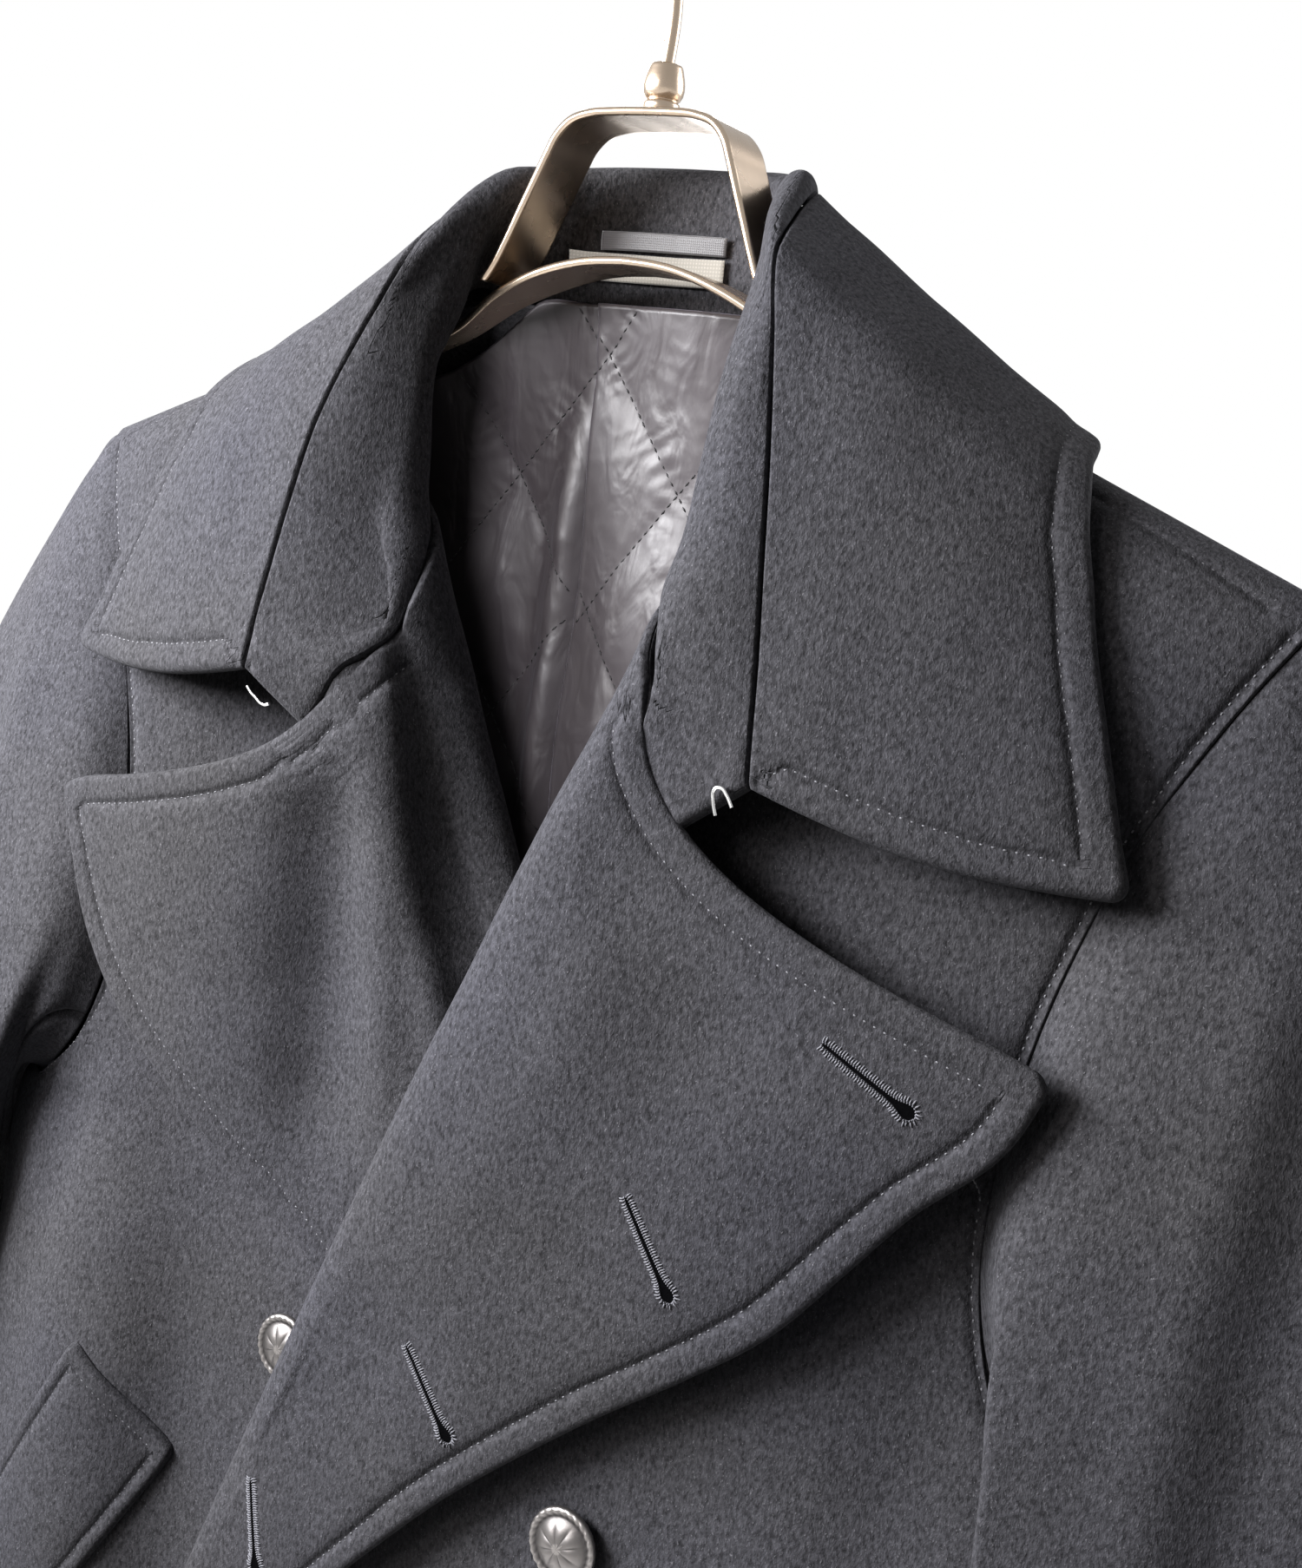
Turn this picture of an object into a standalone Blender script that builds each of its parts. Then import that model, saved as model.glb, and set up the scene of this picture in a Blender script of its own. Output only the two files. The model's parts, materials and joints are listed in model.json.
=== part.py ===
"""Double-breasted pea coat, fronts rolled open, hung on a metal hanger.

The origin is where a rail bears inside the top of the hook.  +Z is up, the
coat faces -Y and the wearer's left is +X.  Tables are in millimetres; each
panel is a wall raised to both sides of a core surface worked out from them.
"""

import math

import bmesh
import bpy
import numpy as np
from mathutils import Vector
from mathutils.bvhtree import BVHTree

MM = 0.001

# ---- driving sizes, mm ------------------------------------------------------
WOOL = 2.2              # one ply of melton
SEAM_GAP = 0.3          # between two pieces at a seam
NECK_X = 62.0           # shoulder neck point, half width
NECK_Z = -146.0         # and its height
SHOULDER_SLOPE = 0.38   # fall of the shoulder seam per mm outward
SHOULDER_TURN = 60.0    # height over which the shoulder turns down
HEM_Z = -880.0          # bottom edge
SIDE_Y = 4.0            # depth of the side seam
UNDERARM_Z = -450.0     # foot of the armhole
BUTTON_X = 66.0         # button columns, each side of the centre front
BUTTON_ROWS = (-496.0, -591.0, -686.0)
DIAMOND_W = 60.0        # quilting, side to side
DIAMOND_H = 80.0        # quilting, up and down
PUFF = 2.4              # height of the quilting
PLEAT_EDGE_X = -24.0    # folded edge of the lining's ease pleat
WELT_W = 52.0
WELT_L = 140.0
HOOK_R = 19.0           # centreline of the hanger's hook
HOOK_WIRE = 4.3

# ---- tables, mm -------------------------------------------------------------
# body by height: half width, depth of the front's core, depth of the back's
# core, how square the section is
BODY = (
    (-140.0, 226.0, -25.0, 30.0, 3.0),
    (-205.0, 226.0, -28.0, 33.0, 3.0),
    (-300.0, 226.0, -31.0, 33.0, 3.0),
    (-400.0, 226.0, -37.0, 37.0, 3.0),
    (-450.0, 229.0, -41.0, 40.0, 3.6),
    (-510.0, 231.0, -44.5, 42.0, 4.8),
    (-700.0, 231.0, -50.0, 47.0, 4.5),
    (-880.0, 240.0, -52.0, 50.0, 4.0),
)
# how far the right front lies behind the left one, by height
SETBACK = (
    (-150.0, 0.0),
    (-205.0, 10.0),
    (-250.0, 17.0),
    (-325.0, 22.0),
    (-490.0, 23.0),
    (-600.0, 22.0),
    (-700.0, 20.0),
    (-880.0, 16.0),
)
# front panel above the roll, row by row: armhole x, z and neck z
FRONT_TOP = (
    (212.0, -203.0, -146.0),
    (210.5, -205.5, -148.5),
    (207.0, -212.0, -154.0),
    (201.5, -222.0, -163.0),
    (194.5, -236.0, -176.0),
    (187.5, -251.0, -190.0),
)
# the same panel from the top of the roll to the underarm: armhole x, z and the
# heights at which the row meets the back and the front of the roll
FRONT_ARM = (
    (181.0, -266.0, -205.0, -240.0),
    (175.0, -286.0, -224.0, -252.0),
    (169.5, -308.0, -246.0, -266.0),
    (165.5, -334.0, -272.0, -284.0),
    (164.0, -362.0, -302.0, -308.0),
    (166.5, -390.0, -334.0, -336.0),
    (177.0, -418.0, -368.0, -368.0),
    (198.0, -438.0, -402.0, -402.0),
)
# and down to the hem: height at the side seam and at the roll
FRONT_SIDE = (
    (-450.0, -438.0),
    (-486.0, -476.0),
    (-526.0, -518.0),
    (-568.0, -562.0),
    (-612.0, -606.0),
    (-656.0, -652.0),
    (-706.0, -704.0),
    (-762.0, -760.0),
    (-820.0, -820.0),
    (-880.0, -880.0),
)
# the roll of the left front by height: tip x, depth of its front, turn in
# degrees, then the lapel's free edge x, y, z
ROLL_LEFT = (
    (-122.0, 53.0, -25.0, 180.0, 179.0, -43.0, -322.0),
    (-136.0, 54.0, -32.0, 180.0, 179.0, -43.0, -322.0),
    (-163.0, 55.0, -40.0, 180.0, 179.0, -43.0, -322.0),
    (-185.0, 55.5, -45.0, 180.0, 179.0, -43.0, -322.0),
    (-203.0, 55.5, -50.0, 180.0, 179.0, -43.0, -322.0),
    (-224.0, 53.0, -53.0, 180.0, 179.0, -43.0, -322.0),
    (-240.0, 49.0, -55.0, 180.0, 179.0, -43.0, -322.0),
    (-252.0, 45.5, -56.0, 180.0, 172.0, -44.0, -341.0),
    (-266.0, 39.5, -57.0, 180.0, 150.0, -46.0, -367.0),
    (-284.0, 32.0, -57.5, 180.0, 136.0, -48.0, -387.0),
    (-308.0, 22.5, -58.0, 180.0, 120.0, -50.0, -409.0),
    (-336.0, 12.0, -58.0, 180.0, 98.0, -52.0, -430.0),
    (-373.0, -2.5, -58.0, 180.0, 71.0, -54.0, -453.0),
    (-428.0, -23.0, -58.0, 180.0, 33.0, -56.0, -489.0),
    (-500.0, -48.0, -58.0, 180.0, -12.0, -58.5, -542.0),
    (-560.0, -68.0, -58.5, 180.0, -47.0, -59.5, -590.0),
    (-606.0, -82.0, -59.0, 170.0, -70.0, -62.5, -624.0),
    (-652.0, -93.0, -61.0, 130.0, -94.0, -67.0, -662.0),
    (-704.0, -95.0, -63.0, 75.0, -113.0, -67.0, -708.0),
    (-760.0, -92.0, -64.0, 28.0, -120.0, -58.0, -761.0),
    (-820.0, -90.0, -65.0, 5.0, -122.0, -53.0, -820.0),
    (-880.0, -90.0, -66.0, 0.0, -122.0, -52.5, -880.0),
)
# the roll of the right front, in its own mirrored x
ROLL_RIGHT = (
    (-122.0, 53.0, -25.0, 180.0, 178.0, -43.0, -323.0),
    (-136.0, 54.0, -31.0, 180.0, 178.0, -43.0, -323.0),
    (-163.0, 55.0, -34.0, 180.0, 178.0, -43.0, -323.0),
    (-185.0, 54.0, -35.5, 180.0, 178.0, -43.0, -323.0),
    (-203.0, 52.5, -36.5, 180.0, 178.0, -43.0, -323.0),
    (-224.0, 46.0, -37.0, 180.0, 178.0, -43.0, -323.0),
    (-240.0, 40.0, -37.0, 180.0, 178.0, -43.0, -323.0),
    (-252.0, 35.0, -36.5, 180.0, 170.0, -43.5, -345.0),
    (-266.0, 29.5, -35.0, 180.0, 160.0, -43.5, -369.0),
    (-284.0, 21.5, -33.0, 180.0, 141.0, -43.0, -394.0),
    (-308.0, 10.5, -30.5, 180.0, 116.0, -41.0, -415.0),
    (-336.0, -3.0, -28.5, 180.0, 92.0, -37.0, -433.0),
    (-373.0, -20.0, -28.0, 180.0, 62.0, -33.5, -450.0),
    (-428.0, -45.0, -29.0, 180.0, 18.0, -31.0, -483.0),
    (-500.0, -77.0, -33.0, 180.0, -44.0, -33.5, -536.0),
    (-560.0, -96.0, -37.0, 150.0, -92.0, -39.0, -574.0),
    (-606.0, -99.0, -37.0, 80.0, -111.0, -37.5, -611.0),
    (-652.0, -96.0, -40.0, 25.0, -120.0, -31.5, -653.0),
    (-704.0, -92.0, -44.0, 0.0, -122.0, -30.2, -704.0),
    (-760.0, -91.0, -46.0, 0.0, -122.0, -32.2, -760.0),
    (-820.0, -90.0, -48.0, 0.0, -122.0, -34.2, -820.0),
    (-880.0, -90.0, -50.0, 0.0, -122.0, -36.0, -880.0),
)
# top edge of the lapel, from the roll by way of the gorge to the tip: x, y, z
LAPEL_TOP = (
    (56.0, -54.0, -262.0),
    (70.0, -52.0, -284.0),
    (104.0, -50.0, -301.0),
    (140.0, -47.0, -312.0),
    (168.0, -44.0, -319.0),
)
# back panel, row by row to the underarm: armhole x, z and the centre-back z
BACK_ARM = (
    (212.0, -203.0, -146.0),
    (210.0, -206.0, -148.5),
    (206.0, -213.0, -155.0),
    (199.0, -225.0, -166.0),
    (191.0, -241.0, -182.0),
    (184.0, -262.0, -205.0),
    (180.0, -290.0, -236.0),
    (178.0, -324.0, -275.0),
    (179.0, -358.0, -316.0),
    (182.0, -390.0, -356.0),
    (190.0, -416.0, -394.0),
    (205.0, -437.0, -424.0),
)
BACK_SIDE = (-450.0, -486.0, -526.0, -568.0, -612.0, -660.0, -730.0, -805.0, -880.0)
# collar stand by section: seam with the fall, front of the roll, its tip, its
# back, a point below, and the neck seam, each x, y, z
STAND_BACK = (
    ((0.0, 34.0, -106.0), (0.0, 32.5, -101.5), (0.0, 29.5, -100.0), (0.0, 26.0, -102.5),
     (0.0, 24.0, -121.0), (0.0, 25.0, -142.5)),
    ((28.0, 30.0, -107.0), (27.5, 28.5, -102.5), (27.0, 25.5, -101.0), (26.5, 22.0, -103.5),
     (32.0, 21.5, -121.0), (36.0, 24.0, -142.5)),
    ((46.0, 15.0, -109.5), (44.5, 14.0, -105.5), (42.0, 13.0, -104.0), (39.5, 12.0, -107.0),
     (48.0, 14.0, -123.0), (55.0, 17.0, -142.5)),
    ((55.0, -3.0, -111.0), (52.5, -3.0, -107.0), (49.5, -2.5, -106.0), (46.5, -2.0, -109.5),
     (54.0, -1.0, -125.0), (61.0, 0.0, -142.5)),
    ((58.5, -18.0, -120.5), (55.5, -17.0, -117.0), (52.0, -14.5, -116.8), (49.5, -11.5, -120.0),
     (54.5, -9.5, -133.0), (60.0, -10.5, -149.5)),
)
# the same in front, where it lies on the roll: seam x, y, z, roll height, how far
# round the roll it is met, end of the strip (0 back of the roll, 1 front, 2 gorge),
# neck seam height
STAND_FRONT = (
    (64.0, -33.0, -131.0, -124.0, 0.72, 0.0, -160.0),
    (69.0, -38.0, -148.0, -143.0, 0.80, 0.0, -176.0),
    (73.0, -41.0, -166.0, -163.0, 0.88, 0.0, -192.0),
    (78.0, -45.0, -189.0, -188.0, 0.95, 0.06, -203.5),
    (82.0, -48.0, -212.0, -211.0, 1.0, 0.52, -221.0),
    (85.5, -50.0, -234.0, -231.0, 1.0, 1.0, -238.0),
    (88.0, -51.8, -252.0, -244.0, 1.0, 1.5, -244.0),
    (90.0, -53.0, -268.0, -252.0, 1.0, 2.0, -252.0),
)
# outer edge of the fall at each section of the stand, x, y, z, and how the right
# side lies lower: its seam in and down, its edge out and down, its sag between
FALL_EDGE = (
    (0.0, 53.0, -211.0, 0.0, 0.0, 0.0, 0.0, 0.0),
    (58.0, 51.0, -208.0, 0.0, 0.0, 0.0, 0.0, 0.0),
    (112.0, 41.0, -194.5, 0.0, 0.5, 0.0, 1.0, 0.5),
    (143.0, 12.0, -171.5, 0.0, 3.0, 4.0, 2.0, 8.5),
    (150.0, -8.0, -174.5, 0.5, 3.5, 1.0, 2.8, 5.0),
    (156.0, -20.0, -191.0, 3.5, 8.0, 1.0, 2.0, 1.5),
    (161.0, -23.5, -206.0, 3.0, 7.0, 0.0, 1.0, 0.0),
    (166.0, -27.0, -221.0, 1.5, 3.5, 0.0, 0.0, 0.0),
    (171.5, -29.0, -236.0, 0.0, 1.0, 0.0, 0.0, 0.0),
    (177.0, -31.0, -251.0, 0.0, 0.0, 0.0, 0.0, 0.0),
    (181.0, -32.5, -262.0, 0.0, 0.0, 0.0, 0.0, 0.0),
    (184.5, -34.0, -270.0, 0.0, 0.0, 0.0, 0.0, 0.0),
    (187.0, -35.0, -277.0, 0.0, 0.0, 0.0, 0.0, 0.0),
)
# sleeve by height: centre x, centre y, half width, half depth, x of the front
# fold where it laps the body, left and right, and how much it laps, 0 to 1
SLEEVE = (
    (-476.0, 298.0, 0.0, 59.0, 48.0, 187.0, 210.0, 1.0),
    (-540.0, 298.5, -1.0, 59.0, 47.0, 194.0, 218.0, 0.9),
    (-610.0, 299.0, -4.0, 57.0, 46.0, 206.0, 228.0, 0.6),
    (-680.0, 301.0, -9.0, 54.0, 44.0, 222.0, 238.0, 0.25),
    (-745.0, 302.0, -15.0, 51.0, 42.0, 240.0, 246.0, 0.0),
    (-806.0, 303.0, -21.0, 49.0, 41.0, 250.0, 254.0, 0.0),
)
# head of the hanger, half of it from the top centre: x, z
HEAD = (
    (0.0, -90.5), (9.0, -90.6), (18.0, -91.2), (24.5, -93.3), (28.8, -97.5), (31.5, -103.0),
    (35.0, -111.0), (39.0, -120.0), (43.0, -129.0), (46.5, -136.0), (50.0, -141.0),
)
# shoulder strip of the hanger, half of it from the middle: x, z of its top,
# depth front to back
ARC = (
    (0.0, -131.0, 21.0),
    (16.0, -132.3, 21.0),
    (31.0, -136.4, 21.0),
    (46.0, -143.2, 17.0),
    (62.0, -154.2, 11.5),
    (100.0, -167.4, 18.0),
    (150.0, -185.6, 16.0),
    (200.0, -204.8, 11.0),
)
# hook from the ferrule to where its circle starts: x, z
HOOK_NECK = ((0.0, -74.7), (0.0, -57.0), (-0.7, -52.5), (-2.4, -47.6), (-5.4, -42.0), (-8.9, -36.5))
# half profiles about an axis: radius, height
BUTTON = (
    (0.0, 0.0), (3.2, 0.0), (3.2, 2.0), (10.6, 2.6), (11.25, 4.0), (10.4, 5.1), (7.4, 5.9), (0.0, 7.1),
)
FERRULE = (
    (0.0, -89.0), (4.9, -89.0), (5.25, -88.4), (5.25, -86.0), (4.7, -85.4), (5.25, -84.8), (5.25, -77.0),
    (4.6, -75.4), (2.6, -75.0), (0.0, -75.0),
)
# wire hook at the left end of the collar and wire eye at the right: x, y, z
COLLAR_HOOK = (
    (83.6, -56.6, -276.0), (82.2, -56.4, -272.4), (81.7, -56.2, -270.0), (82.5, -56.2, -268.8),
    (84.0, -56.2, -268.7), (85.8, -56.3, -270.2), (87.9, -56.5, -273.0),
)
COLLAR_EYE = (
    (-90.8, -50.0, -273.6), (-88.8, -50.0, -275.4), (-86.8, -50.0, -276.5), (-84.7, -50.0, -277.8),
    (-82.8, -50.0, -278.1), (-81.0, -50.0, -277.4),
)
# colours as drawn, linear
COLOUR = {
    "wool": (0.022, 0.023, 0.027, 1.0),
    "satin": (0.055, 0.051, 0.053, 1.0),
    "tape": (0.21, 0.21, 0.19, 1.0),
    "nickel": (0.60, 0.51, 0.42, 1.0),
    "pewter": (0.21, 0.20, 0.20, 1.0),
    "wire": (0.72, 0.72, 0.72, 1.0),
}


# ---- small tools ------------------------------------------------------------
def column(table, key, value):
    """One column of a table at a height, by straight runs between its rows."""
    rows = sorted(table)
    return float(np.interp(value, [r[0] for r in rows], [r[key] for r in rows]))


def at(points, t):
    """A smooth curve through the given points at one parameter, 0 to 1."""
    pts = np.array(points, float)
    n = len(pts) - 1
    u = min(max(t, 0.0), 1.0) * n
    i = min(int(u), n - 1)
    f = u - i
    p1 = pts[i]
    p2 = pts[i + 1]
    p0 = pts[i - 1] if i > 0 else 2.0 * p1 - p2
    p3 = pts[i + 2] if i + 2 <= n else 2.0 * p2 - p1
    return 0.5 * (2.0 * p1 + (p2 - p0) * f + (2.0 * p0 - 5.0 * p1 + 4.0 * p2 - p3) * f * f
                  + (3.0 * p1 - p0 - 3.0 * p2 + p3) * f ** 3)


def smooth(low, high, value):
    t = min(max((value - low) / (high - low), 0.0), 1.0)
    return t * t * (3.0 - 2.0 * t)


def unit(v):
    return v / max(np.linalg.norm(v), 1e-9)


def lerp(a, b, t):
    return a + (b - a) * t


def mirror(p, side):
    return np.array([p[0] * side, p[1], p[2]])


def steps(count, power=1.0):
    return [(i / count) ** power for i in range(count + 1)]


# ---- the body's surfaces ----------------------------------------------------
def side_x(z):
    """Half width of the body at a height."""
    return column(BODY, 1, z)


def shoulder_z(x):
    """Height of the shoulder line, squared off inside the neck."""
    ax = abs(x)
    if ax >= NECK_X:
        return NECK_Z - SHOULDER_SLOPE * (ax - NECK_X)
    return NECK_Z + 26.0 * (1.0 - (ax / NECK_X) ** 6)


def turn_down(x, z):
    """0 on the shoulder seam, 1 where the panel hangs straight."""
    t = min(max((shoulder_z(x) - z) / SHOULDER_TURN, 0.0), 1.0)
    return math.sqrt(max(1.0 - (1.0 - t) ** 2.4, 0.0))


def section(x, z, key):
    """Depth of the body's section at x, z: key 2 for the front, 3 for the back."""
    k = math.sqrt(max(1.0 - min(abs(x) / side_x(z), 1.0) ** column(BODY, 4, z), 0.0))
    flat = SIDE_Y + (column(BODY, key, z) - SIDE_Y) * k
    return flat * turn_down(x, z)


def front_y(x, z, side):
    """Core depth of a front at its own mirrored x."""
    y = section(x, z, 2)
    if side < 0:
        y += column(SETBACK, 1, z) * (1.0 - smooth(90.0, 180.0, x)) * turn_down(x, z)
    return y


# ---- the roll and the lapel -------------------------------------------------
def roll(side, z, key):
    return column(ROLL_LEFT if side > 0 else ROLL_RIGHT, key, z)


def roll_lean(side, z):
    """Tangent of the roll line's lean from upright."""
    return (roll(side, z + 14.0, 1) - roll(side, z - 14.0, 1)) / 28.0


def roll_back(side, z):
    """Where the chest meets the roll: x, and the roll's radius there."""
    x = roll(side, z, 1)
    r = 8.0
    for _ in range(4):
        r = max((front_y(x + 0.95 * r, z, side) - roll(side, z, 2)) / 2.0, 3.6)
    return x + 0.95 * r, r


def roll_point(side, z, f):
    """A point round the roll: f is 0 at its back and 1 at its front."""
    xb, r = roll_back(side, z)
    turn = math.radians(roll(side, z, 3))
    ease = 14.0 * (1.0 - turn / math.pi)
    lean = roll_lean(side, z)
    along = unit(np.array([lean, 0.0, 1.0]))
    out = unit(np.array([-1.0, 0.0, lean]))
    depth = np.array([0.0, 1.0, 0.0])
    q = f * (r * turn + ease)
    phi = min(q / r, turn)
    past = q - r * phi
    centre = np.array([xb, front_y(xb, z, side) - r, z])
    p = centre + r * (math.sin(phi) * out + math.cos(phi) * depth) - lean * r * phi * along
    return p + past * (math.cos(phi) * out - math.sin(phi) * depth - lean * along)


def neck_x(side, z):
    """The front's neck edge at a height."""
    return lerp(NECK_X, roll_back(side, z)[0], smooth(NECK_Z, NECK_Z - 20.0, z))


def lapel_edge(side, z):
    return np.array([roll(side, z, 4), roll(side, z, 5), roll(side, z, 6)])


ROLL_TOP = FRONT_ARM[0][3]      # height at which the lapel leaves the roll


def lapel_top(side, u):
    """Top edge of the lapel, 0 at the roll and 1 at the tip."""
    pts = [tuple(roll_point(side, ROLL_TOP, 1.0))]
    for x, y, z in LAPEL_TOP:
        back = 8.0 * (1.0 - smooth(60.0, 150.0, x)) if side < 0 else 0.0
        pts.append((x, y + back, z))
    pts.append(tuple(lapel_edge(side, ROLL_TOP)))
    return at(pts, u)


def lapel_point(side, z, u):
    """A point of the lapel: z names its row on the roll, u runs to the edge."""
    a = roll_point(side, z, 1.0)
    b = lapel_edge(side, z)
    fade = 1.0 - smooth(ROLL_TOP, ROLL_TOP - 70.0, z) if z < ROLL_TOP else 1.0
    straight = lerp(roll_point(side, ROLL_TOP, 1.0), lapel_edge(side, ROLL_TOP), u)
    full = 3.0 if side > 0 else 1.0
    swell = full * math.sin(math.pi * u) * min(np.linalg.norm(b - a) / 120.0, 1.0)
    bulge = np.array([0.0, -swell, 0.0])
    return lerp(a, b, u) + (lapel_top(side, u) - straight) * fade + bulge * (1.0 - fade)


# ---- meshes -----------------------------------------------------------------
def new_object(name, data, kind):
    obj = bpy.data.objects.new(name, data)
    part.objects.link(obj)
    mat = bpy.data.materials.new(name + "_" + kind)
    mat.use_nodes = True
    bsdf = mat.node_tree.nodes["Principled BSDF"]
    bsdf.inputs["Base Color"].default_value = COLOUR[kind]
    metal = kind in ("nickel", "pewter", "wire")
    bsdf.inputs["Metallic"].default_value = 1.0 if metal else 0.0
    bsdf.inputs["Roughness"].default_value = 0.3 if metal else 0.9
    data.materials.append(mat)
    return obj


def finish_mesh(name, bm, kind):
    bmesh.ops.recalc_face_normals(bm, faces=bm.faces)
    if bm.calc_volume(signed=True) < 0.0:
        bmesh.ops.reverse_faces(bm, faces=bm.faces)
    mesh = bpy.data.meshes.new(name)
    bm.to_mesh(mesh)
    bm.free()
    return new_object(name, mesh, kind)


def full(grid):
    return np.ones(grid.shape[:2], bool)


def cells(grid, mask):
    """The cells of a grid whose four points all exist."""
    rows, cols = grid.shape[:2]
    return [(j, i) for j in range(rows - 1) for i in range(cols - 1)
            if mask[j, i] and mask[j, i + 1] and mask[j + 1, i] and mask[j + 1, i + 1]]


def grid_normals(grid, mask):
    """Area-weighted normals of a grid of points; mask says which points exist."""
    acc = np.zeros_like(grid)
    for j, i in cells(grid, mask):
        n = np.cross(grid[j + 1, i + 1] - grid[j, i], grid[j + 1, i] - grid[j, i + 1])
        for a, b in ((j, i), (j, i + 1), (j + 1, i), (j + 1, i + 1)):
            acc[a, b] += n
    length = np.linalg.norm(acc, axis=2, keepdims=True)
    return acc / np.maximum(length, 1e-9)


def shell(name, grid, low, high, kind, side=1, mask=None, raised=None, normals=None):
    """A closed wall from low to high mm along the grid's normals.

    The normals point out of the coat on the body.  raised deepens the face at
    low.  Both faces are split along the same diagonals.
    """
    rows, cols = grid.shape[:2]
    mask = full(grid) if mask is None else mask
    normals = grid_normals(grid, mask) if normals is None else normals
    flip = np.array([side, 1.0, 1.0])
    bm = bmesh.new()
    layers = []
    for level in (low, high):
        verts = {}
        for j in range(rows):
            for i in range(cols):
                if mask[j, i]:
                    lift = level - raised[j, i] if raised is not None and level == low else level
                    verts[j, i] = bm.verts.new((grid[j, i] + normals[j, i] * lift) * flip * MM)
        layers.append(verts)
    edges = {}
    for j, i in cells(grid, mask):
        loop = [(j, i), (j + 1, i), (j + 1, i + 1), (j, i + 1)]
        for tri in (loop[:3], [loop[0], loop[2], loop[3]]):
            bm.faces.new([layers[1][k] for k in tri])
            bm.faces.new([layers[0][k] for k in reversed(tri)])
        for a, b in zip(loop, loop[1:] + loop[:1]):
            key = (min(a, b), max(a, b))
            edges[key] = edges.get(key, 0) + 1
    for (a, b), uses in edges.items():
        if uses == 1:
            bm.faces.new([layers[0][a], layers[0][b], layers[1][b], layers[1][a]])
    loose = [v for v in bm.verts if not v.link_faces]
    bmesh.ops.delete(bm, geom=loose, context="VERTS")
    return finish_mesh(name, bm, kind)


def turned(name, centre, axis, profile, sides, kind):
    """A solid turned from a half profile about an axis through centre."""
    bm = bmesh.new()
    axis = unit(axis)
    spare = np.array([0.0, 0.0, 1.0]) if abs(axis[2]) < 0.9 else np.array([0.0, 1.0, 0.0])
    right = unit(np.cross(axis, spare))
    up = np.cross(right, axis)
    rings = []
    for r, h in profile:
        ring = []
        for k in range(sides if r > 0.0 else 1):
            a = 2.0 * math.pi * k / sides
            p = centre + axis * h + (right * math.cos(a) + up * math.sin(a)) * r
            ring.append(bm.verts.new(p * MM))
        rings.append(ring)
    for a, b in zip(rings, rings[1:]):
        for k in range(sides):
            n = (k + 1) % sides
            if len(a) == 1:
                bm.faces.new([a[0], b[k], b[n]])
            elif len(b) == 1:
                bm.faces.new([a[k], b[0], a[n]])
            else:
                bm.faces.new([a[k], b[k], b[n], a[n]])
    return finish_mesh(name, bm, kind)


def tube(name, points, radius, kind, level):
    """A round wire along points."""
    curve = bpy.data.curves.new(name, "CURVE")
    curve.dimensions = "3D"
    curve.bevel_depth = radius * MM
    curve.bevel_resolution = level
    curve.render_resolution_u = 0
    curve.use_fill_caps = True
    line = curve.splines.new("POLY")
    line.points.add(len(points) - 1)
    for point, p in zip(line.points, points):
        point.co = (p[0] * MM, p[1] * MM, p[2] * MM, 1.0)
    return new_object(name, curve, kind)


# ---- front, facing, back ----------------------------------------------------
CHEST_COLS = 9
ROLL_COLS = 5
LAPEL_COLS = 6
FACING_COLS = 2         # columns of the chest that the facing reaches inside
SIDE_CROWD = 1.6        # crowds the columns of a panel toward its side


def front_rows():
    rows = list(FRONT_ARM)
    rows += [(side_x(z), z, zr, zr) for z, zr in FRONT_SIDE]
    return rows


def chest_row(xa, za, xb, zb, side):
    row = []
    for u in steps(CHEST_COLS, SIDE_CROWD):
        x = lerp(xa, xb, u)
        z = lerp(za, zb, u)
        row.append((x, front_y(x, z, side), z))
    return row


def roll_row(side, zb, zf):
    """The roll and the lapel of one row, past the roll's back."""
    row = []
    for f in steps(ROLL_COLS)[1:]:
        row.append(tuple(roll_point(side, lerp(zb, zf, f), f)))
    for u in steps(LAPEL_COLS)[1:]:
        row.append(tuple(lapel_point(side, zf, u)))
    return row


def front_grid(side):
    """Core points of a front from the shoulder down, and which of them exist."""
    rows = []
    mask = []
    past = ROLL_COLS + LAPEL_COLS
    for xa, za, zb in FRONT_TOP:
        row = chest_row(xa, za, neck_x(side, zb), zb, side)
        rows.append(row + [row[-1]] * past)
        mask.append([True] * (CHEST_COLS + 1) + [False] * past)
    for xa, za, zb, zf in front_rows():
        rows.append(chest_row(xa, za, roll_back(side, zb)[0], zb, side) + roll_row(side, zb, zf))
        mask.append([True] * (CHEST_COLS + 1 + past))
    return np.array(rows), np.array(mask)


def back_rows():
    return list(BACK_ARM) + [(side_x(z), z, z) for z in BACK_SIDE]


def back_grid():
    out = []
    for xa, za, zc in back_rows():
        row = []
        for u in steps(9, 1.35):
            x = lerp(xa - SEAM_GAP, SEAM_GAP / 2.0, u)
            z = lerp(za, zc, min((xa - x) / (xa - NECK_X), 1.0))
            row.append((x, section(x, z, 3), z))
        out.append(row[::-1])
    return np.array(out)


# ---- lining -----------------------------------------------------------------
LINING_ROWS = 24
LINING_COLS = 11


def quilt(x, z, x0, z0):
    """Height of the quilting: 0 on a stitched line, 1 in a diamond's middle."""
    u = (x - x0) / DIAMOND_W
    v = (z - z0) / DIAMOND_H
    a = abs(math.sin(math.pi * (u + v)))
    b = abs(math.sin(math.pi * (u - v)))
    return (a * b) ** 0.5


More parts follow.
